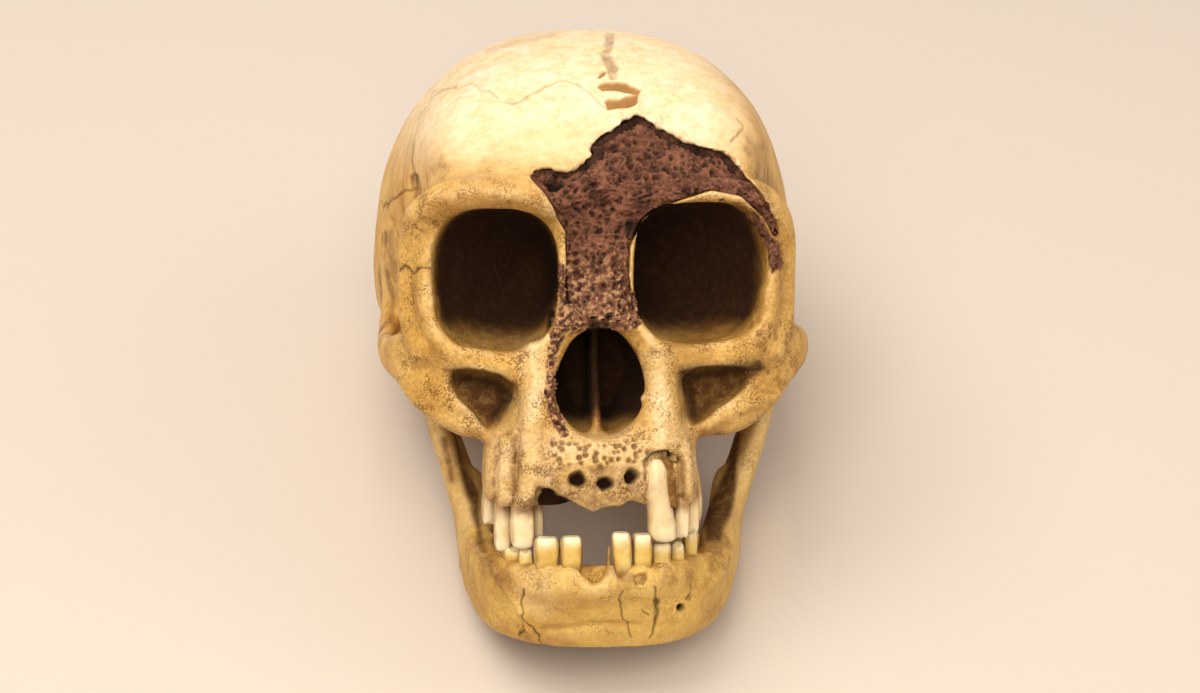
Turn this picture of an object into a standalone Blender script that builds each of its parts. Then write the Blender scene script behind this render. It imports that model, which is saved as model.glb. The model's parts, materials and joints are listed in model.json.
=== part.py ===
"""Fossil hominin skull: a still, life-size model, lying as it would rest on a table.

Sizes are millimetres in the skull's own frame: X to the viewer's right of a person who
looks at the face, Y backwards from the face, Z up, with the lower rims of the orbits and
the ear openings at Z = 0. The whole skull is turned into its resting pose at the end.
"""
import math

import bmesh
import bpy
import numpy as np
from mathutils import Matrix, Vector

MM = 0.001
SIDES = (-1, 1)
SIDE_NAME = {-1: "right", 1: "left"}

# Driving sizes of the braincase and face
VAULT_HALF_WIDTH = 58.3
VERTEX_HEIGHT = 80.4
OCCIPUT_DEPTH = 138.0
ORBIT_HALF_WIDTH = 16.6
ORBIT_HALF_HEIGHT = 19.0
ORBIT_CENTRE = (27.0, 17.2)
NOSE_HALF_WIDTH = 12.0
NOSE_TOP = 5.6
NOSE_BOTTOM = -23.6
PALATE_HALF_WIDTH = 16.5
ALVEOLAR_HALF_WIDTH = 29.4
ALVEOLAR_FRONT = -13.5
ALVEOLAR_EDGE = -41.0
ARCH_MIDDLE = 10.0
ARCH_POWER = 2.35
LOWER_ARCH_HALF_WIDTH = 22.6

# Driving sizes of the mandible
CHIN_BASE = -79.5
GONION = (60.0, -53.0)
MANDIBLE_SKEW = 0.055
CONDYLE = (46.8, 63.0, -5.0)
CONDYLE_HALF_SIZE = (7.8, 4.2, 4.4)

# How the skull rests: pitched back on the jaw angles and the occiput
REST_PITCH = 35.68
REST_FLAT = 0.5

GAP = 0.3
CLAY_VOXEL = 1.15
CRANIUM_TRIANGLES = 7450
MANDIBLE_TRIANGLES = 2200

BONE = ("bone", (0.80, 0.66, 0.42, 1.0), 0.62)
MATRIX_FILL = ("brown matrix", (0.20, 0.085, 0.045, 1.0), 0.9)


# Scene and mesh helpers

def clear_scene():
    for old in list(bpy.data.objects):
        bpy.data.objects.remove(old, do_unlink=True)


def new_object(name, bm):
    bmesh.ops.recalc_face_normals(bm, faces=bm.faces)
    mesh = bpy.data.meshes.new(name)
    bm.to_mesh(mesh)
    bm.free()
    obj = bpy.data.objects.new(name, mesh)
    bpy.context.collection.objects.link(obj)
    return obj


def duplicate(obj, name):
    twin = obj.copy()
    twin.data = obj.data.copy()
    twin.name = name
    bpy.context.collection.objects.link(twin)
    return twin


def remove(objects):
    for obj in objects:
        bpy.data.objects.remove(obj, do_unlink=True)


def apply_modifier(obj, kind, **settings):
    modifier = obj.modifiers.new(kind.title(), kind)
    for key, value in settings.items():
        setattr(modifier, key, value)
    with bpy.context.temp_override(object=obj, active_object=obj):
        bpy.ops.object.modifier_apply(modifier=modifier.name)


def boolean(target, cutter, operation="DIFFERENCE"):
    apply_modifier(target, "BOOLEAN", object=cutter, operation=operation, solver="EXACT")


def cut_all(target, cutters):
    for cutter in cutters:
        boolean(target, cutter)
    remove(cutters)


def join(name, objects):
    bm = bmesh.new()
    for obj in objects:
        bm.from_mesh(obj.data)
    remove(objects)
    return new_object(name, bm)


def fuse(name, objects):
    """One Boolean union on a collection, then the pieces are removed."""
    body = objects[0]
    rest = bpy.data.collections.new(name + "_pieces")
    for obj in objects[1:]:
        rest.objects.link(obj)
    apply_modifier(body, "BOOLEAN", operand_type="COLLECTION", collection=rest,
                   operation="UNION", solver="EXACT")
    remove(objects[1:])
    bpy.data.collections.remove(rest)
    body.name = name
    return body


def keep_largest(obj):
    """Drop every closed surface but the one with the most volume."""
    bm = bmesh.new()
    bm.from_mesh(obj.data)
    bm.faces.ensure_lookup_table()
    seen = set()
    shells = []
    for face in bm.faces:
        if face.index in seen:
            continue
        shell = [face]
        seen.add(face.index)
        for member in shell:
            for edge in member.edges:
                for other in edge.link_faces:
                    if other.index not in seen:
                        seen.add(other.index)
                        shell.append(other)
        shells.append(shell)
    shells.sort(key=shell_volume)
    loose = [face for shell in shells[:-1] for face in shell]
    bmesh.ops.delete(bm, geom=loose, context="FACES")
    bmesh.ops.triangulate(bm, faces=bm.faces)
    bm.to_mesh(obj.data)
    bm.free()


def shell_volume(shell):
    total = 0.0
    for face in shell:
        first = face.verts[0].co
        for second, third in zip(face.verts[1:], face.verts[2:]):
            total += first.dot(second.co.cross(third.co))
    return abs(total)


def smooth_rows(rows, steps):
    """Catmull-Rom rows between the given rows."""
    rows = np.array(rows, float)
    padded = np.vstack([2 * rows[0] - rows[1], rows, 2 * rows[-1] - rows[-2]])
    out = []
    for i in range(1, len(padded) - 2):
        before, start, end, after = padded[i - 1:i + 3]
        for t in np.arange(steps) / steps:
            out.append(0.5 * (2 * start + (end - before) * t
                              + (2 * before - 5 * start + 4 * end - after) * t ** 2
                              + (3 * start - before - 3 * end + after) * t ** 3))
    out.append(rows[-1])
    return np.array(out)


def unit_ring(power, sides):
    angles = np.linspace(0, 2 * math.pi, sides, endpoint=False)
    cos, sin = np.cos(angles), np.sin(angles)
    return (np.sign(cos) * np.abs(cos) ** (2 / power),
            np.sign(sin) * np.abs(sin) ** (2 / power))


def loft(name, rings):
    """Closed mesh through rings of points, with flat end caps."""
    bm = bmesh.new()
    loops = [[bm.verts.new(Vector(point) * MM) for point in ring] for ring in rings]
    for one, two in zip(loops, loops[1:]):
        for i in range(len(one)):
            j = (i + 1) % len(one)
            bm.faces.new((one[i], one[j], two[j], two[i]))
    bm.faces.new(loops[0])
    bm.faces.new(loops[-1])
    return new_object(name, bm)


def coronal_loft(name, rows, power=2.0, sides=40, steps=3):
    """Rows are (y, centre x, half width, lowest z, widest z, highest z)."""
    cos, sin = unit_ring(power, sides)
    rings = []
    for y, x, half, low, mid, top in smooth_rows(rows, steps):
        heights = np.where(sin > 0, mid + (top - mid) * sin, mid + (mid - low) * sin)
        rings.append([(x + half * c, y, z) for c, z in zip(cos, heights)])
    return loft(name, rings)


def level_loft(name, rows, power=2.0, sides=32, steps=3):
    """Rows are (z, centre x, centre y, half x, half y)."""
    cos, sin = unit_ring(power, sides)
    rings = []
    for z, x, y, half_x, half_y in smooth_rows(rows, steps):
        rings.append([(x + half_x * c, y + half_y * s, z) for c, s in zip(cos, sin)])
    return loft(name, rings)


def stroke(name, rows, up, power=2.0, sides=16, steps=3):
    """Bar along rows of (x, y, z, half width, half height); up fixes the height's side."""
    rows = smooth_rows(rows, steps)
    path = rows[:, :3]
    tangents = np.gradient(path, axis=0)
    cos, sin = unit_ring(power, sides)
    rings = []
    for centre, tangent, (half_a, half_b) in zip(path, tangents, rows[:, 3:5]):
        across = np.cross(tangent, up)
        across /= np.linalg.norm(across)
        high = np.cross(across, tangent)
        high /= np.linalg.norm(high)
        rings.append([centre + across * half_a * c + high * half_b * s
                      for c, s in zip(cos, sin)])
    return loft(name, rings)


def blob(name, centre, radii, turn=(0, 0, 0)):
    bm = bmesh.new()
    bmesh.ops.create_uvsphere(bm, u_segments=24, v_segments=14, radius=1.0)
    scale = Matrix.Diagonal([r * MM for r in radii] + [1.0])
    spin = Matrix.Rotation(math.radians(turn[2]), 4, "Z")
    spin = spin @ Matrix.Rotation(math.radians(turn[1]), 4, "Y")
    spin = spin @ Matrix.Rotation(math.radians(turn[0]), 4, "X")
    move = Matrix.Translation(Vector(centre) * MM)
    bmesh.ops.transform(bm, matrix=move @ spin @ scale, verts=bm.verts)
    return new_object(name, bm)


def prism(name, outline, near, far, axis, far_outline=None):
    """Outline extruded along one axis between two levels, in millimetres."""
    rings = []
    for level, points in ((near, outline), (far, far_outline or outline)):
        if axis == "X":
            rings.append([(level, a, b) for a, b in points])
        elif axis == "Y":
            rings.append([(a, level, b) for a, b in points])
        else:
            rings.append([(a, b, level) for a, b in points])
    return loft(name, rings)


def grown(outline, amount):
    """The outline moved outwards by a small amount along its corners' normals."""
    points = [Vector(p) for p in outline]
    area = sum(a.x * b.y - a.y * b.x for a, b in zip(points, points[1:] + points[:1]))
    turn = 1 if area > 0 else -1
    out = []
    for i, point in enumerate(points):
        before = (point - points[i - 1]).normalized()
        after = (points[(i + 1) % len(points)] - point).normalized()
        bisector = Vector((before.y + after.y, -before.x - after.x)).normalized()
        lean = max(0.4, bisector.dot(Vector((before.y, -before.x))))
        moved = point + bisector * (turn * amount / lean)
        out.append((moved.x, moved.y))
    return out


def mirrored(rows, side):
    return [(side * row[0],) + tuple(row[1:]) for row in rows]


def clay_to_bone(obj, voxel, smoothing):
    apply_modifier(obj, "REMESH", mode="VOXEL", voxel_size=voxel * MM)
    apply_modifier(obj, "SMOOTH", factor=0.5, iterations=smoothing)


def thin_out(obj, triangles):
    """Collapse to a number of triangles, finer where the form bends more."""
    apply_modifier(obj, "TRIANGULATE")
    ratio = min(1.0, triangles / len(obj.data.polygons))
    apply_modifier(obj, "DECIMATE", ratio=ratio, use_collapse_triangulate=True)


# Clay of the braincase

def vault():
    width = VAULT_HALF_WIDTH
    top = VERTEX_HEIGHT
    back = OCCIPUT_DEPTH
    rows = [
        (-2, 0, 22, 34, 40, 44),
        (3, 0, 36, 26, 44, 51.5),
        (10, 0, 41.5, 18, 46, 59.5),
        (20, 0, 44.5, 8, 47, 67),
        (32, 0, 47.5, -2, 44, 73.5),
        (46, 0, 51.5, -9, 32, 78),
        (62, 0, 55.5, -13, 19, top),
        (80, 0, width, -15, 13, top - 0.9),
        (96, 0, 56.5, -17, 13, 75),
        (110, 0, 50, -15.5, 15, 66),
        (122, 0, 40, -10, 18, 54),
        (131, 0, 27, -1, 21, 41),
        (136, 0, 15, 10, 24, 33),
        (back, 0, 5, 20, 25, 28),
    ]
    return coronal_loft("vault", rows, power=2.4, sides=56)


def brow(side):
    rows = [
        (7, 1, 37, 6, 5),
        (14, -2, 39, 6, 5),
        (23, -3.5, 40.3, 6.5, 4.9),
        (32, -2.5, 40.2, 6.5, 4.9),
        (40.5, 1.5, 37.8, 6, 5.0),
        (46, 7, 32, 5, 5.0),
        (47.8, 11.5, 24, 4.5, 4.6),
        (48, 13.5, 14, 4.5, 4.6),
        (46.5, 13, 4, 5, 5.5),
        (43, 9, -4, 6, 6),
    ]
    return stroke("brow", mirrored(rows, side), up=(side * 0.5, 0.15, 1))


def orbit_shell(side):
    """The block of bone that the orbit's cone is hollowed from."""
    rows = [
        (1, side * 27, 19.5, -6, 17, 41),
        (9, side * 28, 20.5, -7, 17, 41),
        (18, side * 26.5, 18.5, -6, 17, 38),
        (28, side * 23, 17.5, -4, 16, 36),
        (40, side * 19, 17, -4, 15, 34),
        (50, side * 16, 17, -6, 12, 30),
    ]
    return coronal_loft("orbit_shell", rows, power=2.6, sides=28)


def between_orbits():
    rows = [(0, 0, 11.5, -6, 18, 40), (14, 0, 13, -12, 16, 40), (46, 0, 15, -11, 10, 36)]
    return coronal_loft("between_orbits", rows, power=3.5, sides=20)


def cheek_and_arch(side):
    lift = 1.8 if side > 0 else 0.0
    spread = 1.2 if side > 0 else 0.0
    rows = [
        (20, 5, -9, 4.5, 9),
        (30, 7, -13.2, 4.6, 12),
        (38, 9, -11, 4.8, 11),
        (46, 13.5, -7 + lift, 4.5, 9.5),
        (51.2 + spread, 21, -4.8 + lift, 3.4, 7),
        (54.2 + spread, 31, -5 + lift, 2.6, 5),
        (55.2 + spread, 43, -3.8 + lift, 2.4, 4),
        (54.8, 55, -1, 2.6, 3.8),
        (53, 66, 2, 4, 4.5),
        (50, 76, 3, 6, 5.5),
        (48, 90, 4, 6, 5),
    ]
    return stroke("cheek_and_arch", mirrored(rows, side), up=(0, 0, 1), power=2.3)


def lower_rim(side):
    rows = [(13, 1, 4, 4, 4), (16, 0.5, -3, 4.5, 4.5), (23, 2, -6.5, 5, 4.5),
            (32, 4, -6.5, 5, 4.5), (41, 9, -2, 5, 5)]
    return stroke("lower_rim", mirrored(rows, side), up=(0, 0, 1), sides=12)


def nose_bridge():
    rows = [(0, 3, 38, 10, 5), (0, 2.5, 28, 8.5, 4.5), (0, 0.5, 18, 8, 4.5),
            (0, -2, 9, 8.5, 4.5), (0, -3.5, 4.5, 9, 4)]
    return stroke("nose_bridge", rows, up=(0, -1, 0.2), sides=16)


def nose_wing(side):
    """The bone beside the nasal opening, from the bridge down to the tooth row."""
    rows = [(9.5, 2, 26, 4, 4), (11, 1.5, 14, 4.5, 4), (14, 0.5, 3, 4.5, 4.5),
            (15.5, -0.5, -8, 4.8, 4.5), (15.5, -3, -20, 5.5, 5), (14, -6, -31, 6, 5)]
    return stroke("nose_wing", mirrored(rows, side), up=(0, -1, 0), sides=14)


def upper_jaw():
    half = ALVEOLAR_HALF_WIDTH
    rows = [
        (3, 0, 19, 28, 16),
        (-7, 0, 18, 26, 17),
        (-17, -0.6, 14.5, 24.6, 18.5),
        (-25, -1.8, 12.5, half - 1.8, 22.5),
        (-33, -2.3, 10.5, half - 1.4, 24),
        (ALVEOLAR_EDGE + 2, -2.3, 10, half - 1.4, 23.5),
        (ALVEOLAR_EDGE, -2.3, 10, half - 2.6, 22.5),
    ]
    return level_loft("upper_jaw", rows, power=ARCH_POWER, sides=44)


def root_ridge(x, y, top, bottom, radius):
    rows = [(x * 0.97, y + 2, top, radius * 0.6, radius * 0.6), (x, y, (top + bottom) / 2, radius, radius),
            (x, y, bottom, radius, radius)]
    return stroke("root_ridge", rows, up=(0, -1, 0), sides=10)


def nasal_spine_and_sill():
    rows = [(-9, -5, -25, 3, 2.5), (-5, -7.5, -25.5, 3, 2.6), (0, -8.2, -25, 3, 3),
            (5, -7.5, -25.5, 3, 2.6), (9, -5, -25, 3, 2.5)]
    return stroke("nasal_sill", rows, up=(0, 0, 1), sides=10)


def pterygoid(side):
    rows = [(13, 41, 2, 3, 8), (14, 41, -12, 2.2, 7), (15.5, 41, -24, 1.8, 6), (17, 41, -33, 1.6, 4.5)]
    return stroke("pterygoid", mirrored(rows, side), up=(0, 1, 0), sides=14)


def skull_base():
    pieces = [
        stroke("basilar", [(0, 40, -2, 13, 8), (0, 52, -7, 11, 6), (0, 64, -11, 10, 4)], up=(0, 0, 1)),
        blob("occiput_bulge", (0, 112, 6), (40, 22, 22)),
    ]
    for side in SIDES:
        pieces.append(blob("mastoid", (side * 46.5, 81, -9), (7, 10, 14), turn=(8, 0, 0)))
        pieces.append(blob("mastoid_crest", (side * 53, 84, 5), (4.5, 14, 6)))
        pieces.append(stroke("petrous", [(side * 44, 72, -7, 7, 6), (side * 26, 62, -10, 6, 5),
                                         (side * 12, 54, -9, 5, 5)], up=(0, 0, 1)))
        pieces.append(blob("occipital_condyle", (side * 11, 70, -15.5), (4, 7.5, 3.6), turn=(0, 0, side * 22)))
        pieces.append(blob("cerebellar_swell", (side * 20, 104, -9), (20, 19, 8.5)))
        pieces.append(stroke("occipital_torus", [(side * 36, 116, 16, 4, 2.5), (side * 20, 131, 19, 4, 3),
                                                 (0, 134.5, 20, 4, 3.2)], up=(0, 0, 1)))
    return pieces


def cranium_clay():
    pieces = [vault(), between_orbits(), nose_bridge(), upper_jaw(), nasal_spine_and_sill()]
    pieces += skull_base()
    for side in SIDES:
        pieces += [brow(side), orbit_shell(side), cheek_and_arch(side),
                   lower_rim(side), nose_wing(side), pterygoid(side)]
    pieces.append(root_ridge(-21.5, -4.5, -20, -40, 3.6))
    pieces.append(root_ridge(-26.3, 2.5, -24, -41, 3.0))
    pieces.append(root_ridge(21.5, -3.5, -22, -39, 2.6))
    pieces.append(root_ridge(23.6, 3.5, -24, -40, 2.4))
    pieces.append(root_ridge(-13.5, -9.5, -26, -37, 2.8))
    pieces.append(blob("glabella", (0, 2, 41), (13, 6.5, 7)))
    return join("cranium", pieces)


# Hollows of the cranium

def orbit_cutter(side):
    centre_x, centre_z = ORBIT_CENTRE
    half_x, half_z = ORBIT_HALF_WIDTH, ORBIT_HALF_HEIGHT
    if side > 0:
        centre_x, centre_z, half_x = 26.2, 18.8, 17.6
    rows = [
        (-20, side * (centre_x + 2), half_x + 1.5, centre_z - half_z - 1, centre_z, centre_z + half_z + 1),
        (3, side * centre_x, half_x, centre_z - half_z, centre_z, centre_z + half_z),
        (14, side * (centre_x - 1.5), half_x - 0.6, centre_z - half_z - 0.5, centre_z, centre_z + half_z - 1),
        (26, side * (centre_x - 5.5), half_x - 5, centre_z - half_z + 5, centre_z, centre_z + half_z - 5),
        (36, side * (centre_x - 9.5), half_x - 10, centre_z - 8, centre_z, centre_z + 8),
        (41, side * (centre_x - 11.5), 2.5, centre_z - 3, centre_z, centre_z + 3),
    ]
    return coronal_loft("orbit_cutter", rows, power=2.9, sides=36)


def nose_cutter():
    """Pear-shaped opening that narrows upwards and ends blind above the palate."""
    rings = []
    count = 32
    for y, spread, drop in ((-20, 1.25, 0.0), (-3, 1.0, 0.0), (6, 1.1, -0.5), (20, 0.95, 0.5), (31, 0.7, 3.0)):
        ring = []
        for i in range(count):
            angle = 2 * math.pi * i / count
            rise = 0.5 + 0.5 * math.sin(angle)
            z = NOSE_BOTTOM + drop + (NOSE_TOP - NOSE_BOTTOM) * rise
            waist = NOSE_HALF_WIDTH * (1.0 - 0.24 * max(0.0, rise - 0.42) / 0.58)
            across = math.copysign(abs(math.cos(angle)) ** 0.85, math.cos(angle))
            ring.append((waist * spread * across, y, z))
        rings.append(ring)
    return loft("nose_cutter", rings)


def palate_cutter():
    half = PALATE_HALF_WIDTH
    rows = [(-60, 0, 26, half + 1, 32), (ALVEOLAR_EDGE, 0, 25, half, 30.5), (-34, 0, 25, half - 2, 28.5),
            (-30, 0, 26, half - 7, 24)]
    return level_loft("palate_cutter", rows, power=2.4, sides=28)


def temple_cutter(side):
    """Clears the fossa inside the cheek arch down past the side of the braincase."""
    rows = [(24, side * 53, 27, 9, 7), (12, side * 49, 31, 7.5, 12), (-2, side * 46, 35, 6.6, 15),
            (-16, side * 43.5, 37, 8.5, 17), (-30, side * 43, 38, 10, 18)]
    return level_loft("temple_cutter", rows, power=2.4, sides=24)


def cheek_hollows(side):
    """The three-cornered hollow below the orbit, wide at the top, beside the nose."""
    if side < 0:
        return [blob("cheek_hollow", (-31.5, -3.0, -12.0), (10.5, 10.6, 6.2), turn=(0, 11, -16)),
                blob("cheek_hollow_foot", (-28.6, -3.5, -17.8), (6.0, 9.6, 6.2), turn=(0, 0, -12))]
    return [blob("cheek_hollow", (30.5, -2.5, -11.2), (11.0, 10.4, 5.8), turn=(0, 0, 16)),
            blob("cheek_hollow_foot", (26.8, -3.0, -16.5), (5.6, 9.4, 6.8), turn=(0, 0, 12))]


def base_hollows():
    cutters = [
        level_loft("foramen_magnum", [(-40, 0, 80, 13, 16), (-14, 0, 80, 11.5, 14.5), (2, 0, 80, 9, 11),
                                      (6, 0, 80, 3, 4)], sides=26),
    ]
    for side in SIDES:
        cutters.append(level_loft("choana", [(-40, side * 6.5, 47, 5, 9), (-14, side * 6.5, 46, 4.8, 8),
                                             (-8, side * 6.2, 46, 3, 5)], sides=16))
        cutters.append(blob("ear_opening", (side * 55, 71, -1), (8, 3.2, 3.8)))
        cutters.append(blob("digastric_notch", (side * 38.5, 84, -19), (2.6, 11, 7)))
        cutters += [joint_socket(side), ramus_room(side)]
    return cutters


def joint_socket(side):
    """Room for the jaw's condyle, a hair wider than the condyle itself."""
    x, y, z = CONDYLE
    half = [size + 0.9 for size in CONDYLE_HALF_SIZE]
    skewed = side * x + MANDIBLE_SKEW * y
    return blob("joint_socket", (skewed, y, z - 0.4), half, turn=(0, 0, -side * 8))


def canine_notch():
    """The broken front wall of the socket, in which the long canine stands bare."""
    rows = [(16.2, -11, -27.5, 3.6, 4), (16.2, -11, -34, 4.6, 5.4), (16.4, -12, -46, 5.0, 6.0)]
    return stroke("canine_notch", rows, up=(0, -1, 0), sides=14)


def upper_socket_break():
    """The torn lower edge where the upper front teeth have broken out."""
    outline = [(-18.0, -44), (-17.5, -36.4), (-16.7, -35.4), (-13.3, -35.8), (-9.4, -38.2), (-6.3, -39.8),
               (-3.7, -41.3), (0.2, -40.6), (4.8, -39.9), (6.4, -38.8), (10.3, -39.2), (11.8, -41.0), (12.2, -44)]
    return prism("upper_socket_break", outline, -25, -5, "Y")


def lower_socket_break():
    """The notch in the front of the mandible's tooth ridge."""
    outline = [(-6.8, -53), (-6.6, -57.1), (-4.0, -59.5), (-2.6, -61.0), (-0.7, -60.1), (0.9, -57.2), (1.2, -53)]
    return prism("lower_socket_break", outline, -22, -9, "Y")


def septum():
    """The thin wall that stands deep in the middle of the nose."""
    rows = [(-0.8, 21, 4, 1.0, 11), (-0.8, 20, -8, 1.0, 12), (-0.6, 15.5, -25, 1.3, 14.5)]
    return stroke("septum", rows, up=(0, 1, 0), power=4, sides=16)


def hollow_cranium(cranium):
    cutters = [nose_cutter(), palate_cutter(), canine_notch(), upper_socket_break()] + base_hollows()
    for side in SIDES:
        cutters += [orbit_cutter(side), temple_cutter(side)] + cheek_hollows(side)
    cut_all(cranium, cutters)


# Teeth

def tooth(name, centre, half_width, half_depth, gum, edge, root):
    """Crown from gum level to biting edge, with a root that runs to the level root."""
    x, y = centre
    rows = [(root, x, y, half_width * 0.45, half_depth * 0.45)]
    for along, scale in ((0.0, 0.82), (0.35, 1.0), (0.8, 0.96), (1.0, 0.72)):
        rows.append((gum + (edge - gum) * along, x, y, half_width * scale, half_depth * scale))
    return level_loft(name, rows, power=2.9, sides=8, steps=1)


def arch_point(half_width, front, angle):
    """Point on a tooth row: rounded like the tooth-bearing bone, then straight back."""
    if angle > 90:
        return half_width, ARCH_MIDDLE + (angle - 90) * 0.6
    turn = math.radians(angle)
    bend = 2 / ARCH_POWER
    reach = ARCH_MIDDLE - front
    return half_width * math.sin(turn) ** bend, ARCH_MIDDLE - reach * math.cos(turn) ** bend


def tooth_row(name, half_width, front, centre, sizes_by_side, root):
    """Teeth as (angle, half width, half depth, gum level, biting level)."""
    teeth = []
    for side, sizes in sizes_by_side.items():
        for angle, half_x, half_y, gum, edge in sizes:
            x, y = arch_point(half_width, front, angle)
            teeth.append(tooth(name, (centre + side * x, y), half_x, half_y, gum, edge, root))
    return teeth


def upper_teeth():
    sizes = {
        -1: [(49.8, 3.1, 3.4, -39.5, -50.6), (78.8, 2.9, 3.9, -40.5, -52.3),
             (96, 4.6, 4.8, -39, -47.2), (112, 4.3, 4.6, -39, -46.2)],
        1: [(62, 3.0, 4.0, -39, -48.6), (76, 3.2, 4.3, -39, -48.8), (92, 4.6, 4.8, -39, -47.6),
            (108, 4.6, 5.0, -39, -46.8)],
    }
    half_width = ALVEOLAR_HALF_WIDTH - 5.0
    return tooth_row("upper_tooth", half_width, ALVEOLAR_FRONT + 4.5, -1.2, sizes, -31) + [bare_canine()]


def bare_canine():
    """The long canine on the viewer's right, whose root stands bare in the broken bone."""
    rows = [(-29, 16.4, -4.6, 2.6, 3.2), (-33, 16.4, -6.0, 3.3, 3.8), (-41, 16.4, -7.2, 3.3, 3.9),
            (-45, 16.6, -7.6, 3.7, 4.2), (-48.6, 16.6, -7.4, 3.6, 3.6), (-50.4, 16.6, -7.0, 2.6, 2.4)]
    return level_loft("bare_canine", rows, power=2.3, sides=12, steps=1)


def lower_teeth():
    sizes = {
        -1: [(17.9, 2.5, 3.0, -56.0, -47.8), (35, 3.0, 3.2, -56.0, -47.8), (58.8, 1.9, 3.2, -57.5, -52.9),
             (75, 3.6, 4.2, -57.5, -52.8), (91, 4.8, 4.8, -57.5, -52.8), (108, 5.0, 4.8, -56, -49.6)],
        1: [(9.5, 2.8, 3.1, -57.5, -46.8), (23.1, 2.3, 3.2, -57.5, -47.2), (40.7, 2.5, 3.4, -57.5, -51.0),
            (61.2, 2.3, 3.6, -57.5, -51.5), (76, 4.2, 4.4, -57, -50.6), (93, 5.0, 4.8, -56.5, -49.6),
            (109, 5.0, 4.8, -56, -48.8)],
    }
    return tooth_row("lower_tooth", LOWER_ARCH_HALF_WIDTH, ALVEOLAR_FRONT + 3.0, 0, sizes, -64)


# Mandible

def jaw_corpus():
    gonion_y, gonion_z = GONION
    half = [
        (0, -3.0, -67.8, 6.2, 11.6),
        (10, -2.4, -67.8, 6.2, 11.6),
        (19.5, 2.0, -67.2, 6.2, 11.4),
        (26.2, 11.0, -65.8, 6.0, 11.2),
        (29.7, 22.0, -63.2, 5.9, 11.0),
        (32.5, 34.0, -59.0, 5.4, 11.4),
        (34.4, 46.0, -53.5, 4.6, 12.4),
        (36.2, gonion_y - 7, gonion_z + 11, 4.0, 11.5),
    ]
    rows = mirrored(half[:0:-1], -1) + half
    return stroke("corpus", rows, up=(0, -0.34, 1), power=2.6, sides=20)


def ramus_rows(side):
    return [
        (-55, side * 35.2, 50, 3.2, 9),
        (-46, side * 36.8, 50, 4.0, 14.5),
        (-36, side * 39.8, 50.3, 3.9, 16.2),
        (-24, side * 43.6, 50.8, 3.6, 16.4),
        (-12, side * 46.0, 51.2, 3.0, 16.4),
        (-4, side * 46.4, 51.0, 2.5, 16.2),
    ]


def jaw_ramus(side):
    return level_loft("ramus", ramus_rows(side), power=3.2, sides=28)


def ramus_room(side):
    """Free space round the jaw's upright plate, inside the cheek arch."""
    rows = [(z, x + MANDIBLE_SKEW * y, y, half_x + 1.1, half_y + 1.1)
            for z, x, y, half_x, half_y in ramus_rows(side)]
    return level_loft("ramus_room", rows, power=3.2, sides=28)


def jaw_notch(side):
    """The notch between the coronoid process and the condyle."""
    centre = (side * 46 + MANDIBLE_SKEW * 50, 50.5, -3)
    return blob("jaw_notch", centre, (14, 8.2, 12))


def coronoid(side):
    rows = [(side * 45.2, 40, -14, 2.4, 5.5), (side * 46.2, 37.5, -4, 2.1, 4.6), (side * 46.6, 36.5, 2, 1.7, 2.6)]
    return stroke("coronoid", rows, up=(0, 1, 0.3), sides=12)


def condyle(side):
    x, y, z = CONDYLE
    head = blob("condyle", (side * x, y, z), CONDYLE_HALF_SIZE, turn=(0, 0, -side * 8))
    neck = stroke("condyle_neck", [(side * 47.4, y - 0.5, z - 2, 5, 4), (side * 46, y - 1, z - 9, 3.4, 5),
                                   (side * 44.5, y - 3, z - 18, 3, 7)], up=(0, 1, 0))
    return [head, neck]


def jaw_alveolus():
    """The ridge of bone that holds the lower teeth."""
    rows = []
    for angle in (-112, -90, -66, -42, -20, 0, 20, 42, 66, 90, 112):
        x, y = arch_point(LOWER_ARCH_HALF_WIDTH, ALVEOLAR_FRONT + 3.4, abs(angle))
        rows.append((math.copysign(x, angle) if angle else 0.0, y, -60.3, 5.0, 4.6))
    return stroke("alveolus", rows, up=(0, 0, 1), power=2.6, sides=14)


def mandible_clay():
    pieces = [jaw_corpus(), jaw_alveolus()]
    for side in SIDES:
        pieces += [jaw_ramus(side), coronoid(side)] + condyle(side)
    pieces.append(blob("chin", (0, 1.0, -73), (13, 6.5, 6)))
    return join("mandible", pieces)


def build_mandible():
    jaw = mandible_clay()
    for vertex in jaw.data.vertices:
        vertex.co.x += MANDIBLE_SKEW * vertex.co.y
    clay_to_bone(jaw, CLAY_VOXEL, 4)
    cut_all(jaw, [jaw_notch(side) for side in SIDES] + [lower_socket_break()])
    clay_to_bone(jaw, CLAY_VOXEL, 3)
    keep_largest(jaw)
    thin_out(jaw, MANDIBLE_TRIANGLES)
    jaw = fuse("mandible", [jaw] + lower_teeth())
    keep_largest(jaw)
    return jaw


# Parting the cranium into named bones

def fill_outline():
    """Front outline of the broken forehead, down to the bridge of the nose."""
    return [(-18.5, 44.5), (-15, 46.6), (-8, 45.4), (-1.5, 49.5), (-2.5, 52), (4, 56), (10, 60),
            (18, 55), (27.5, 51), (33.5, 50), (37.4, 44.5), (43, 37.5), (46.5, 31), (46.5, 26.5),
            (42.5, 33.5), (36, 39.5), (28, 41.2), (19, 38.2), (11.5, 33.8), (7.6, 26), (7.2, 18),
            (8.5, 8.8), (-4, 8.2), (-8, 12), (-8.6, 20), (-8.6, 30), (-12, 35.5), (-14.5, 40.5)]


def leaning_block(name, outline, extra):
    """Outline pushed into the face, deeper where the forehead slopes back."""
    front = [(x, -30, z) for x, z in outline]
    back = [(x, 4.0 + 0.27 * z + extra, z) for x, z in outline]
    return loft(name, [front, back])


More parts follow.
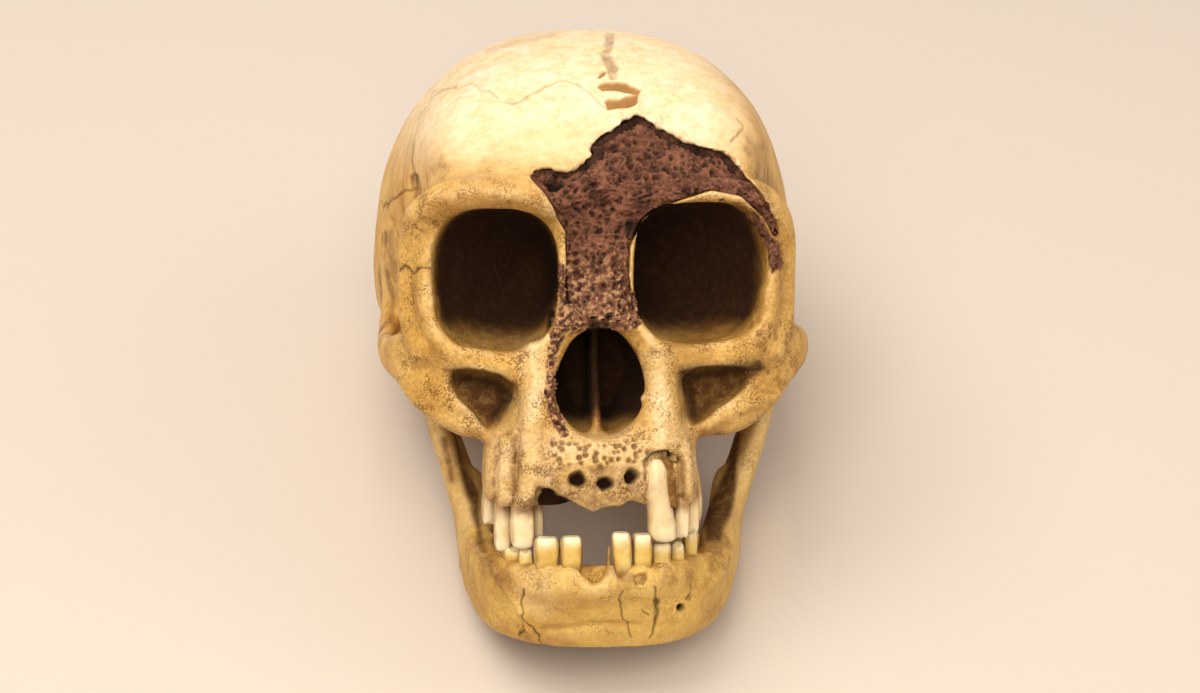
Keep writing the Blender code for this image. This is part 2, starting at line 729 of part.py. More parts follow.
def part_fill(cranium):
    """The brown matrix: a block just under the bone's surface, in a pocket of its own."""
    outline = fill_outline()
    fill = duplicate(cranium, "brown_infill")
    apply_modifier(fill, "DISPLACE", strength=-1.3 * MM, mid_level=0.0)
    block = leaning_block("fill_block", outline, 0.0)
    boolean(fill, block, "INTERSECT")
    keep_largest(fill)
    pocket = leaning_block("fill_pocket", grown(outline, GAP), GAP)
    cut_all(cranium, [pocket])
    remove([block])
    return fill


def take(cranium, name, cutter, wider):
    """Give the part of the cranium inside the cutter its own node."""
    bone = duplicate(cranium, name)
    boolean(bone, cutter, "INTERSECT")
    keep_largest(bone)
    boolean(cranium, wider)
    remove([cutter, wider])
    return bone


def cheek_cutters(side, gap):
    """A block in front of the outer orbit wall, with a bar over the cheek arch."""
    top = 19.0 + gap
    inner_top, inner_low, low = 18.0 - gap, 39.0 - gap, -40.0
    front, wall, arch_end = -30, 17 + gap, 40 + gap
    arch = [(side * (45.5 - gap), wall), (side * (50.3 - gap), 29), (side * (50.3 - gap), arch_end),
            (side * 75, arch_end)]
    upper = [(side * 75, front), (side * inner_top, front), (side * inner_top, wall)] + arch
    lower = [(side * 75, front), (side * inner_low, front), (side * inner_low, wall)] + arch
    return prism("cheek_cutter", upper, top, low, "Z", lower)


def temple_outline():
    """Side outline of the temporal bone, an arc over the ear."""
    arc = [(70 + 29 * math.cos(math.radians(a)), 6 + 25 * math.sin(math.radians(a)))
           for a in range(165, -1, -15)]
    return [(28, -60), (28, 8)] + arc + [(97, -8), (90, -60)]


def part_cranium(cranium):
    bones = []
    for side in SIDES:
        bones.append(take(cranium, "zygomatic_" + SIDE_NAME[side],
                          cheek_cutters(side, 0.0), cheek_cutters(side, GAP)))
    jaw_side = [(-40, 16), (6, 16), (13, -1), (35, -5), (35, -70), (-40, -70)]
    bones.append(take(cranium, "maxilla", prism("jaw_cutter", jaw_side, -60, 60, "X"),
                      prism("jaw_cutter", grown(jaw_side, GAP), -60, 60, "X")))
    for side in SIDES:
        outline = temple_outline()
        bones.append(take(cranium, "temporal_" + SIDE_NAME[side],
                          prism("temple", outline, side * 34, side * 90, "X"),
                          prism("temple", grown(outline, GAP), side * (34 - GAP), side * 90, "X")))
    occiput = [(170, 110), (119, 78), (114, 58), (99, 8), (63, 4), (63, -60), (170, -60)]
    bones.append(take(cranium, "occipital_bone", prism("occiput", occiput, -90, 90, "X"),
                      prism("occiput", grown(occiput, GAP), -90, 90, "X")))
    forehead = [(-60, 120), (50, 120), (47, 78), (43, 40), (43, 15), (-60, 15)]
    bones.append(take(cranium, "frontal_bone", prism("forehead", forehead, -90, 90, "X"),
                      prism("forehead", grown(forehead, GAP), -90, 90, "X")))
    for side in SIDES:
        low = 15 - GAP
        wall = [(side * GAP / 2, low), (side * 90, low), (side * 90, 100), (side * GAP / 2, 100)]
        wide = [(side * -GAP / 2, low - GAP), (side * 90, low - GAP), (side * 90, 100), (side * -GAP / 2, 100)]
        bones.append(take(cranium, "parietal_" + SIDE_NAME[side],
                          prism("crown", wall, 20, 140, "Y"), prism("crown", wide, 20, 140, "Y")))
    keep_largest(cranium)
    cranium.name = "sphenoid_and_base"
    bones.append(cranium)
    return bones


def build_cranium():
    cranium = cranium_clay()
    clay_to_bone(cranium, CLAY_VOXEL, 6)
    hollow_cranium(cranium)
    cranium = join("cranium", [cranium, septum()])
    clay_to_bone(cranium, CLAY_VOXEL, 3)
    keep_largest(cranium)
    thin_out(cranium, CRANIUM_TRIANGLES)
    fill = part_fill(cranium)
    bones = part_cranium(cranium)
    for bone in bones:
        if bone.name == "maxilla":
            fuse("maxilla", [bone] + upper_teeth())
            keep_largest(bone)
    return bones + [fill]


# Resting pose and finish

def rest_matrix(objects):
    """Pitch the skull back and set it down, centred over the origin."""
    turn = Matrix.Rotation(math.radians(-REST_PITCH), 4, "X")
    points = [turn @ vertex.co for obj in objects for vertex in obj.data.vertices]
    low = Vector([min(p[i] for p in points) for i in range(3)])
    high = Vector([max(p[i] for p in points) for i in range(3)])
    middle = (low + high) / 2
    return Matrix.Translation((-middle.x, -middle.y, -low.z - REST_FLAT * MM)) @ turn


def set_down(objects):
    move = rest_matrix(objects)
    for obj in objects:
        obj.data.transform(move)
    floor = prism("floor_cutter", [(-200, -200), (200, -200), (200, 200), (-200, 200)], -60, 0, "Z")
    for obj in objects:
        if min(vertex.co.z for vertex in obj.data.vertices) < 0:
            boolean(obj, floor)
            keep_largest(obj)
    remove([floor])


def paint(obj, finish):
    name, colour, roughness = finish
    material = bpy.data.materials.get(name) or bpy.data.materials.new(name)
    material.use_nodes = True
    shader = material.node_tree.nodes["Principled BSDF"]
    shader.inputs["Base Color"].default_value = colour
    shader.inputs["Roughness"].default_value = roughness
    shader.inputs["Metallic"].default_value = 0.0
    obj.data.materials.clear()
    obj.data.materials.append(material)


def main():
    clear_scene()
    nodes = build_cranium() + [build_mandible()]
    set_down(nodes)
    for obj in nodes:
        paint(obj, MATRIX_FILL if obj.name == "brown_infill" else BONE)


main()
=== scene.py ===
# %% [markdown]
# # A fossil hominin skull
#
# This lesson dresses a plain model of a small fossil skull until it looks like a painted
# museum cast: pale cream with a painted highlight on the crown, ochre on the face, dark brown
# stain and painted shade in the hollows, with a rough brown matrix that fills the broken
# forehead. The plain model has the true sizes, so every step here only refines its surface
# and gives it colour.

# %% Load the frame
import json
import math

import bmesh
import bpy
import numpy as np
from mathutils import Matrix, Vector
from mathutils.bvhtree import BVHTree

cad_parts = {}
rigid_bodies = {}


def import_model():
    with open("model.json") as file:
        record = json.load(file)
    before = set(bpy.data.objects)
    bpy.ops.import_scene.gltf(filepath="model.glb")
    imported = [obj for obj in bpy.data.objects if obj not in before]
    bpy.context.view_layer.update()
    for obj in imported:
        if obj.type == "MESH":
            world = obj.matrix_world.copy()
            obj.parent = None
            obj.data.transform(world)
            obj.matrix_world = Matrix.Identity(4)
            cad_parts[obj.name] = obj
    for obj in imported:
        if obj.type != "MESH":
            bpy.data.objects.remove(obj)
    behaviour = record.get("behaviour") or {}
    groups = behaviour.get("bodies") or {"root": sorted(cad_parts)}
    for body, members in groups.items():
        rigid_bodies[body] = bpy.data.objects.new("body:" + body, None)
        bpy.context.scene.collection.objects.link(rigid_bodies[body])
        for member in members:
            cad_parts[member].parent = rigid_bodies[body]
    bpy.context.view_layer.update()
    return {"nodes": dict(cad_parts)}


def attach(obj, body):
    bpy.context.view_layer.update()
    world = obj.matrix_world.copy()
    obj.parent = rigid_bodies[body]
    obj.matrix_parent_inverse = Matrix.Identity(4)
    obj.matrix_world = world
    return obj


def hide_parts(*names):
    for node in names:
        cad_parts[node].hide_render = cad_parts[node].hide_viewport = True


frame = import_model()
bpy.ops.object.select_all(action="DESELECT")
print("bones and infill:", sorted(frame["nodes"]))

# %% [markdown]
# ## The skull's own axes
#
# A skull is easiest to describe upright: X to the viewer's right, Y backwards from the face
# and Z up, in millimetres, with the lower rims of the eye sockets at zero. The real one
# lies tipped back on its jaw angles and the back of its head. The tilt is known, and three
# flat cuts between the bones lie at known levels, so they tell where zero is.

# %% Find the skull's axes
MM = 0.001
REST_PITCH = 35.68
TURN = np.array(Matrix.Rotation(math.radians(-REST_PITCH), 3, "X"))


def node_points(name):
    """The points of a plain node."""
    mesh = bpy.data.objects[name].data
    points = np.empty(len(mesh.vertices) * 3)
    mesh.vertices.foreach_get("co", points)
    return points.reshape(-1, 3)


cheek = node_points("zygomatic_right") @ TURN / MM
crown = node_points("parietal_left") @ TURN / MM
ORIGIN = np.array([crown[:, 0].min() - 0.15, cheek[:, 1].max() - 40.0, cheek[:, 2].max() - 19.0])
print("upright origin, mm:", ORIGIN.round(2))


def upright(points):
    """World metres to the skull's own millimetres."""
    return np.asarray(points) @ TURN / MM - ORIGIN


def world(points):
    """The skull's own millimetres to world metres."""
    return (np.asarray(points) + ORIGIN) * MM @ TURN.T


# %% [markdown]
# ## The camera
#
# The photo looks at the face from a metre away, a little from above and a little from the
# viewer's left. A long lens keeps the jaw and the crown in the right proportion.

# %% Place the camera
VIEW_YAW = math.radians(3.5)
VIEW_RISE = math.radians(6.0)
VIEW_DISTANCE = 1000.0
PHOTO_CENTRE = np.array([600.0, 346.5])
FOCAL_PIXELS = 3850.0

look = np.array([math.sin(VIEW_YAW) * math.cos(VIEW_RISE), math.cos(VIEW_YAW) * math.cos(VIEW_RISE),
                 -math.sin(VIEW_RISE)])
across = np.array([math.cos(VIEW_YAW), -math.sin(VIEW_YAW), 0.0])
high = np.cross(across, look)
eye = -VIEW_DISTANCE * look


def photo_pixels(points):
    """Where points in the skull's millimetres fall in the 1200 by 693 photo."""
    ray = points - eye
    depth = ray @ look
    flat = np.stack([ray @ across, -(ray @ high)], axis=1)
    return PHOTO_CENTRE + FOCAL_PIXELS * flat / depth[:, None]


def at_depth(pixel, y):
    """The point seen at a photo pixel, at depth y in the skull's millimetres."""
    shift = (np.array(pixel, float) - PHOTO_CENTRE) / FOCAL_PIXELS
    ray = look + across * shift[0] - high * shift[1]
    return eye + ray * (y - eye[1]) / ray[1]


bpy.ops.object.camera_add()
camera = bpy.context.object
camera.name = "photo_camera"
camera.data.sensor_width = 36.0
camera.data.lens = FOCAL_PIXELS / 1200.0 * 36.0
camera.data.clip_start = 0.05
axes = np.stack([across, high, -look]) @ TURN.T
camera.matrix_world = Matrix.LocRotScale(Vector(world(eye)), Matrix(axes.T.tolist()), None)
bpy.context.scene.camera = camera
print("lens, mm:", round(camera.data.lens, 1))

# %% [markdown]
# ## Floor and light
#
# The skull lies on a plain warm-white floor. A large soft lamp above and to the viewer's
# left makes the pale highlight on the forehead and leaves the sockets dark. One in front lights
# the face, and a weak one at the right opens up the shadows.

# %% Build the studio
def plain_material(name, colour, roughness):
    material = bpy.data.materials.new(name)
    material.use_nodes = True
    shader = material.node_tree.nodes["Principled BSDF"]
    shader.inputs["Base Color"].default_value = (*colour, 1.0)
    shader.inputs["Roughness"].default_value = roughness
    shader.inputs["Specular IOR Level"].default_value = 0.1
    return material


bpy.ops.mesh.primitive_plane_add(size=6.0, location=(0, 0, 0))
floor = bpy.context.object
floor.name = "studio_floor"
floor.data.materials.append(plain_material("warm_white_paper", (0.66, 0.585, 0.52), 0.9))


def soft_lamp(name, place, size, power, colour):
    """A square lamp at a place in the skull's axes, aimed at the face."""
    start = Vector(world(np.array(place, float)))
    target = Vector(world(np.array([0.0, 30.0, 0.0])))
    bpy.ops.object.light_add(type="AREA", location=start)
    lamp = bpy.context.object
    lamp.name = name
    lamp.data.size = size
    lamp.data.energy = power
    lamp.data.color = colour
    lamp.rotation_euler = (target - start).to_track_quat("-Z", "Y").to_euler()
    print(name, "is", round((target - start).length, 2), "m from the face")


soft_lamp("key_lamp", (-300, -480, 740), 0.7, 6.6, (1.0, 0.93, 0.83))
soft_lamp("face_lamp", (-120, -900, 260), 0.5, 5.2, (1.0, 0.93, 0.83))
soft_lamp("side_lamp", (700, -350, 420), 0.6, 1.8, (1.0, 0.92, 0.82))

sky = bpy.data.worlds.new("soft_room")
bpy.context.scene.world = sky
sky.use_nodes = True
sky.node_tree.nodes["Background"].inputs["Color"].default_value = (1.0, 0.93, 0.85, 1.0)
sky.node_tree.nodes["Background"].inputs["Strength"].default_value = 0.46
bpy.context.scene.view_settings.view_transform = "Standard"

# %% [markdown]
# ## Noise, lines and outlines
#
# Fine forms are carved as a sculptor would with small strokes: each vertex is asked how
# near it is to a crack, a pit or a ridge, and is moved along its normal. Two kinds of noise
# do the rest, a soft one for lumps and a cellular one for pores. Lines and outlines are
# lists of pixels of the photo.

# %% Noise and distances
def smoothstep(low, top, value):
    t = np.clip((value - low) / (top - low), 0.0, 1.0)
    return t * t * (3 - 2 * t)


def lattice_hash(cells, seed):
    cells = cells.astype(np.int64)
    mixed = cells[..., 0] * 73856093 ^ cells[..., 1] * 19349663 ^ cells[..., 2] * 83492791
    mixed = (mixed ^ (seed * 2654435761)) & 0xFFFFFFFF
    mixed = ((mixed ^ (mixed >> 15)) * 2246822519) & 0xFFFFFFFF
    mixed = ((mixed ^ (mixed >> 13)) * 3266489917) & 0xFFFFFFFF
    return (mixed ^ (mixed >> 16)) / 4294967295.0


def soft_noise(points, size, seed):
    """Smooth noise from -1 to 1 with lumps of about the given size in millimetres."""
    scaled = points / size
    cell = np.floor(scaled)
    part = scaled - cell
    part = part * part * (3 - 2 * part)
    total = np.zeros(len(points))
    for corner in np.ndindex(2, 2, 2):
        corner = np.array(corner)
        weight = np.prod(np.where(corner == 1, part, 1 - part), axis=1)
        total += weight * lattice_hash(cell + corner, seed)
    return total * 2 - 1


def layered_noise(points, size, seed, layers=3):
    total = np.zeros(len(points))
    for layer in range(layers):
        total += soft_noise(points, size / 2 ** layer, seed + layer * 7) / 2 ** layer
    return total / (2 - 2 ** (1 - layers))


def cell_distance(points, size, seed):
    """Distance in cell sizes from each point to the nearest scattered seed."""
    scaled = points / size
    cell = np.floor(scaled)
    nearest = np.full(len(points), 9.0)
    for step in np.ndindex(3, 3, 3):
        other = cell + np.array(step) - 1
        spot = other + np.stack([lattice_hash(other, seed + k) for k in range(3)], axis=1)
        nearest = np.minimum(nearest, np.linalg.norm(scaled - spot, axis=1))
    return nearest


def line_distance(flat, line, reach=40.0):
    """Distance from flat points to a line of straight pieces, looked at only within reach."""
    line = np.array(line, float)
    best = np.full(len(flat), 1e3)
    low, top = line.min(axis=0) - reach, line.max(axis=0) + reach
    close = np.flatnonzero(((flat > low) & (flat < top)).all(axis=1))
    nearby = flat[close]
    for start, end in zip(line, line[1:]):
        run = end - start
        t = np.clip(((nearby - start) @ run) / max(run @ run, 1e-9), 0, 1)
        best[close] = np.minimum(best[close], np.linalg.norm(nearby - start - t[:, None] * run, axis=1))
    return best


def inside(flat, outline):
    """True for flat points inside a closed outline."""
    outline = np.array(outline, float)
    result = np.zeros(len(flat), bool)
    for (x1, y1), (x2, y2) in zip(outline, np.roll(outline, -1, axis=0)):
        crosses = (flat[:, 1] < y1) != (flat[:, 1] < y2)
        at = x1 + (flat[:, 1] - y1) / (y2 - y1 + 1e-12) * (x2 - x1)
        result ^= crosses & (flat[:, 0] < at)
    return result


def only_where(mask, make):
    """Values made for the points where the mask is above 0, and 0 for all others."""
    values = np.zeros(len(mask))
    chosen = np.flatnonzero(mask > 0)
    values[chosen] = make(chosen)
    return values


def region(flat, outline, edge):
    """1 well inside an outline, falling to 0 at its edge over the given width."""
    closed = list(outline) + [outline[0]]
    return inside(flat, outline) * smoothstep(0, edge, line_distance(flat, closed))


def patches(flat, outlines, edge):
    """The highest of several regions at each flat point."""
    return np.maximum.reduce([region(flat, outline, edge) for outline in outlines])


def groove(distance, width):
    """1 on a line, falling softly to 0 beside it."""
    return np.exp(-(distance / width) ** 2)


def strokes(flat, lines):
    """The strongest of several soft lines, each given as its points, width and perhaps strength."""
    best = np.zeros(len(flat))
    for line, width, *strength in lines:
        mark = groove(line_distance(flat, line), width)
        best = np.maximum(best, strength[0] * mark if strength else mark)
    return best


def wandering(flat, points, size, amount, seed):
    """Flat points pushed about by noise, so straight strokes come out ragged."""
    push = [soft_noise(points, size, seed), soft_noise(points, size, seed + 3)]
    return flat + amount * np.stack(push, axis=1)


# %% [markdown]
# ## Working on meshes
#
# Copies of the plain bones are reshaped point by point. These helpers join copies, run a
# modifier for good, and read and write a mesh's points, normals and stored values.

# %% Mesh helpers
def merged_copy(name, nodes, grow):
    """One mesh from copies of plain nodes, each grown by some millimetres so that seams close."""
    bm = bmesh.new()
    for node in nodes:
        part = bmesh.new()
        part.from_mesh(bpy.data.objects[node].data)
        bmesh.ops.remove_doubles(part, verts=part.verts, dist=1e-6)
        part.normal_update()
        for vertex in part.verts:
            vertex.co += vertex.normal * grow * MM
        copy = bpy.data.meshes.new("copy")
        part.to_mesh(copy)
        part.free()
        bm.from_mesh(copy)
        bpy.data.meshes.remove(copy)
    mesh = bpy.data.meshes.new(name)
    bm.to_mesh(mesh)
    bm.free()
    obj = bpy.data.objects.new(name, mesh)
    bpy.context.collection.objects.link(obj)
    return obj


def apply_modifier(obj, kind, **settings):
    modifier = obj.modifiers.new(kind.title(), kind)
    for key, value in settings.items():
        setattr(modifier, key, value)
    with bpy.context.temp_override(object=obj, active_object=obj):
        bpy.ops.object.modifier_apply(modifier=modifier.name)


def triples(items, field):
    """Three numbers for each vertex or face of a mesh."""
    values = np.empty(len(items) * 3)
    items.foreach_get(field, values)
    return values.reshape(-1, 3)


def mesh_points(obj):
    return upright(triples(obj.data.vertices, "co"))


def mesh_normals(obj):
    return triples(obj.data.vertices, "normal") @ TURN


def face_data(obj):
    """The middle and the direction of each face."""
    faces = obj.data.polygons
    return upright(triples(faces, "center")), triples(faces, "normal") @ TURN


def set_points(obj, points):
    obj.data.vertices.foreach_set("co", world(points).ravel())
    obj.data.update()


def set_mask(obj, name, values):
    layer = obj.data.attributes.get(name) or obj.data.attributes.new(name, "FLOAT", "POINT")
    layer.data.foreach_set("value", np.clip(values, 0, 1).astype(np.float32))


def read_mask(obj, name):
    values = np.empty(len(obj.data.vertices), np.float32)
    obj.data.attributes[name].data.foreach_get("value", values)
    return values.astype(float)


def smooth_by(obj, weights, rounds):
    """Smooth more where the weights are high, so rims stay crisp and the crown gets even."""
    group = obj.vertex_groups.new(name="soft")
    steps = np.round(weights * 10).astype(int)
    for step in range(1, 11):
        chosen = np.flatnonzero(steps == step)
        if len(chosen):
            group.add(chosen.tolist(), step / 10, "REPLACE")
    apply_modifier(obj, "SMOOTH", factor=0.5, iterations=rounds, vertex_group="soft")
    obj.vertex_groups.clear()


def hollowness(obj, rounds):
    """How far each point lies below (+) or above (-) a strongly smoothed copy."""
    copy = obj.copy()
    copy.data = obj.data.copy()
    bpy.context.collection.objects.link(copy)
    apply_modifier(copy, "SMOOTH", factor=0.5, iterations=rounds)
    depth = ((mesh_points(copy) - mesh_points(obj)) * mesh_normals(obj)).sum(axis=1)
    mesh = copy.data
    bpy.data.objects.remove(copy)
    bpy.data.meshes.remove(mesh)
    return depth


# %% [markdown]
# ## Raw bone
#
# All the bones of the cranium are joined for a while into one closed skin of small, even
# squares, so that forms can run across the joints between them. The plain model is faceted,
# so the crown is smoothed strongly and the face only a little. The plain teeth are cut away
# first: real crowns take their place later.

# %% Make the skins
SKIN_VOXEL = 0.6
SEAM_CLOSING = 0.22
CROWN_SMOOTHING = 180
JAW_SMOOTHING = 14
FACE_WEIGHT = 0.06
LOWER_TEETH_BOX = ((-27, -17, -55.6), (28, 27, -40))
UPPER_TEETH_BOX = ((-40, -20, -70), (40, 45, -41.2))
LOWER_CUT = (-20, -9)
UPPER_CUT = (-25, -3)
BREAK_ZONE = [
    (-22, 42), (-20, 49), (-2, 56), (10, 63), (20, 58), (40, 53), (49, 33), (44, 26), (7, 5), (-12, 5),
    (-12, 30)]
UPPER_BREAK = [
    (533, 530), (533, 490), (537, 486), (551, 488), (566, 498), (578, 504), (588, 510), (596, 509),
    (603, 507), (613, 505), (621, 504), (627, 499), (642, 501), (648, 507), (648, 530)]
LOWER_NOTCH = [(577, 555), (577, 571), (587, 580), (592, 586), (600, 582), (606, 571), (609, 555)]
ROOT_NOTCH = [(613, 555), (614, 568), (620, 581), (627, 570), (628, 555)]
CRANIUM_NODES = [
    "frontal_bone", "parietal_right", "parietal_left", "occipital_bone", "temporal_right", "temporal_left",
    "sphenoid_and_base", "zygomatic_right", "zygomatic_left", "maxilla"]


def box_cutter(low, top):
    """A box in the skull's axes that clears plain teeth away."""
    bpy.ops.mesh.primitive_cube_add(size=1.0)
    cutter = bpy.context.object
    for vertex in cutter.data.vertices:
        pick = [top[axis] if vertex.co[axis] > 0 else low[axis] for axis in range(3)]
        vertex.co = Vector(world(np.array(pick, float)))
    return cutter


def outline_cutter(outline, near, far):
    """A block with an outline drawn in photo pixels, from depth near to depth far."""
    bm = bmesh.new()
    rings = [[bm.verts.new(world(at_depth(pixel, y))) for pixel in outline] for y in (near, far)]
    bm.faces.new(rings[0])
    bm.faces.new(rings[1][::-1])
    count = len(outline)
    for i in range(count):
        j = (i + 1) % count
        bm.faces.new((rings[0][j], rings[0][i], rings[1][i], rings[1][j]))
    bmesh.ops.recalc_face_normals(bm, faces=bm.faces)
    mesh = bpy.data.meshes.new("outline_cutter")
    bm.to_mesh(mesh)
    bm.free()
    cutter = bpy.data.objects.new("outline_cutter", mesh)
    bpy.context.collection.objects.link(cutter)
    return cutter


def cut_away(obj, cutter):
    apply_modifier(obj, "BOOLEAN", object=cutter, operation="DIFFERENCE", solver="EXACT")
    bpy.data.objects.remove(cutter, do_unlink=True)


jaw_copy = merged_copy("mandible_bone", ["mandible"], 0.0)
cut_away(jaw_copy, box_cutter(*LOWER_TEETH_BOX))
for notch in (LOWER_NOTCH, ROOT_NOTCH):
    cut_away(jaw_copy, outline_cutter(notch, *LOWER_CUT))
upper_copy = merged_copy("upper_copy", ["maxilla"], 0.0)
cut_away(upper_copy, box_cutter(*UPPER_TEETH_BOX))
cut_away(upper_copy, outline_cutter(UPPER_BREAK, *UPPER_CUT))
set_points(upper_copy, mesh_points(upper_copy) + mesh_normals(upper_copy) * SEAM_CLOSING)
cranium_skin = merged_copy("cranium_skin", [n for n in CRANIUM_NODES if n != "maxilla"], SEAM_CLOSING)
bm = bmesh.new()
bm.from_mesh(cranium_skin.data)
bm.from_mesh(upper_copy.data)
bm.to_mesh(cranium_skin.data)
bm.free()
bpy.data.objects.remove(upper_copy, do_unlink=True)

for skin in (cranium_skin, jaw_copy):
    apply_modifier(skin, "REMESH", mode="VOXEL", voxel_size=SKIN_VOXEL * MM)
    print(skin.name, "faces:", len(skin.data.polygons))


def crown_weight(points):
    """1 on the even braincase, and little on the face and its rims."""
    behind = smoothstep(18, 34, points[:, 1] + 0.35 * (points[:, 2] - 45))
    above = smoothstep(-8, 6, points[:, 2])
    forehead = smoothstep(47, 54, points[:, 2]) * smoothstep(4, 9, points[:, 1])
    return FACE_WEIGHT + (1 - FACE_WEIGHT) * np.maximum(behind * above, forehead)


points = mesh_points(cranium_skin)
weights = crown_weight(points)
near_break = inside(points[:, [0, 2]], BREAK_ZONE) & (points[:, 1] < 26)
weights[near_break] = FACE_WEIGHT
smooth_by(cranium_skin, weights, CROWN_SMOOTHING)
apply_modifier(jaw_copy, "SMOOTH", factor=0.5, iterations=JAW_SMOOTHING)

# %% [markdown]
# ## Big forms first
#
# A sculptor goes from large to small. The hollows under the cheekbones are made deeper, the
# bone beside the nose and over the tooth roots swells with furrows between, and the rims of
# the eye sockets stand out. All places are read off the photo, in its pixels, and only skin
# that faces the camera is moved.

# %% Large forms of the face
def facing_camera(points, normals):
    toward = eye - points
    toward /= np.linalg.norm(toward, axis=1)[:, None]
    return smoothstep(0.02, 0.2, (normals * toward).sum(axis=1))


class Skin:
    """A mesh while it is carved: where its points are, how the camera sees them, how far they move."""

    def __init__(self, obj, front_ends=(24, 14)):
        self.points = mesh_points(obj)
        self.normals = mesh_normals(obj)
        self.pixels = photo_pixels(self.points)
        self.seen = facing_camera(self.points, self.normals)
        self.front = self.seen * smoothstep(*front_ends, self.points[:, 1])
        self.lift = np.zeros(len(self.points))

    def ragged(self, size, amount, seed):
        """The points' pixels, pushed about by noise."""
        return wandering(self.pixels, self.points, size, amount, seed)

    def draw(self, lines, sign=1):
        """Raises (or with sign -1 lowers) the front along lines given as points, width, height."""
        for line, width, height in lines:
            self.lift += sign * height * self.front * groove(line_distance(self.pixels, line), width)

    def move(self, obj):
        set_points(obj, self.points + self.normals * self.lift[:, None])


CHEEK_DEPTH = 3.6
NOSE_BUMP = (641, 398)
CHEEK_HOLLOWS = [
    [(438, 368), (470, 367), (500, 373), (518, 384), (512, 404), (500, 426), (487, 440), (476, 424),
     (455, 398)],
    [(677, 370), (700, 365), (735, 364), (767, 368), (758, 380), (735, 400), (706, 422), (691, 434),
     (684, 408)]]
SWELLS = [
    ([(533, 350), (536, 385), (531, 420)], 9.0, 0.9), ([(656, 360), (661, 400), (660, 440)], 10.0, 0.9),
    ([(530, 425), (527, 460), (524, 500)], 8.0, 1.6), ([(505, 440), (504, 470), (503, 505)], 5.0, 1.3),
    ([(489, 450), (488, 475), (488, 500)], 3.5, 0.8), ([(686, 446), (689, 470), (688, 500)], 3.5, 1.0),
    ([(436, 300), (447, 330), (470, 350), (500, 358), (530, 353), (549, 338)], 5.0, 0.6),
    ([(638, 326), (655, 348), (690, 351), (730, 341), (753, 318), (764, 290)], 5.0, 0.6),
    ([(412, 210), (440, 196), (480, 190), (520, 196), (546, 212)], 10.0, 0.7),
    ([(398, 392), (430, 416), (462, 430)], 6.0, 0.5), ([(706, 428), (740, 408), (776, 396)], 6.0, 0.5)]
FURROWS = [
    ([(517, 432), (515, 470), (514, 507)], 2.8, 1.5), ([(497, 446), (496, 472), (495, 506)], 2.4, 1.3),
    ([(545, 425), (544, 455), (541, 484)], 3.0, 0.7), ([(680, 448), (682, 480), (681, 506)], 2.4, 1.5),
    ([(647, 466), (646, 500)], 2.0, 1.0), ([(412, 184), (440, 170), (480, 165), (520, 172)], 6.0, 0.9)]


def shape_face(obj):
    """Deepens hollows, raises swellings and cuts furrows on the front of the face."""
    skin = Skin(obj)
    points = skin.points
    skin.lift += 0.3 * layered_noise(points, 14, 1) + 0.1 * layered_noise(points, 5, 2)
    for outline in CHEEK_HOLLOWS:
        skin.lift -= CHEEK_DEPTH * skin.front * region(skin.pixels, outline, 15.0)
    skin.draw(SWELLS)
    skin.draw(FURROWS, -1)
    away = np.linalg.norm(skin.pixels - np.array(NOSE_BUMP), axis=1)
    skin.lift += 1.8 * skin.front * groove(away, 5.0) * (points[:, 1] < 4)
    skin.move(obj)
    print("largest shift of the face, mm:", round(float(np.abs(skin.lift).max()), 2))


shape_face(cranium_skin)

# %% [markdown]
# ## Cracks and breaks of the cranium
#
# The fossil is pieced together from fragments. The lines follow the photo: a fine crack
# across the forehead, a brown band along the crown that ends in lost flakes, and short
# cracks and stains at the temples. The torn edge is where the forehead is broken open.

# %% Draw the cracks seen from the front
FOREHEAD_CRACK = [
    (430, 93), (448, 89), (468, 84), (474, 84), (478, 89), (489, 91), (498, 98), (501, 101), (512, 104),
    (527, 98), (545, 86), (557, 81), (564, 80), (578, 84), (588, 89), (597, 102), (606, 108)]
CROWN_CRACK = [(610, 34), (610, 44), (606, 54), (609, 62), (613, 70), (612, 76)]
TEMPLE_CRACK = [(443, 89), (432, 98), (420, 116), (413, 140), (412, 160), (415, 178), (416, 192)]
TEMPLE_BRANCH = [(416, 190), (405, 190), (398, 196), (383, 206)]
TOP_LEFT_CRACK = [(554, 32), (530, 38), (507, 43), (486, 50)]
BROW_SUTURE = [(399, 270), (406, 267), (413, 273), (421, 268), (430, 268)]
LEFT_STAIN = [(383, 236), (390, 258), (395, 280)]
RIGHT_CRACK = [(738, 118), (744, 126), (738, 133), (731, 142)]
RIGHT_STAIN = [(760, 150), (762, 175), (768, 205), (774, 235)]
FRONT_CRACKS = [
    (FOREHEAD_CRACK, 0.9, 0.5), (TEMPLE_CRACK, 1.2, 0.6), (TEMPLE_BRANCH, 1.4, 0.8),
    (BROW_SUTURE, 1.5, 1.0), (RIGHT_CRACK, 1.2, 0.55)]
BROWN_BANDS = [
    (CROWN_CRACK, 2.6, 0.75, 0.5), (TOP_LEFT_CRACK, 2.4, 0.4, 0.25), (LEFT_STAIN, 2.6, 0.7, 0.3),
    (RIGHT_STAIN, 5.0, 0.5, 0.2), ([(414, 178), (417, 196)], 3.0, 0.9, 0.6)]
LOST_FLAKES = [
    [(596, 87), (602, 82), (617, 80), (628, 83), (642, 89), (640, 96), (627, 93), (615, 92), (602, 91)],
    [(603, 102), (608, 98), (618, 98), (628, 95), (640, 93), (639, 101), (630, 108), (618, 109),
     (608, 111)],
    [(597, 78), (602, 70), (608, 68), (607, 74), (600, 80)]]
TORN_EDGE = [
    (526, 178), (539, 167), (562, 170), (571, 175), (577, 165), (595, 158), (587, 146), (609, 131),
    (639, 113), (668, 128), (697, 146), (712, 152), (727, 150), (738, 167), (744, 187), (757, 199),
    (772, 209), (777, 228), (780, 268)]
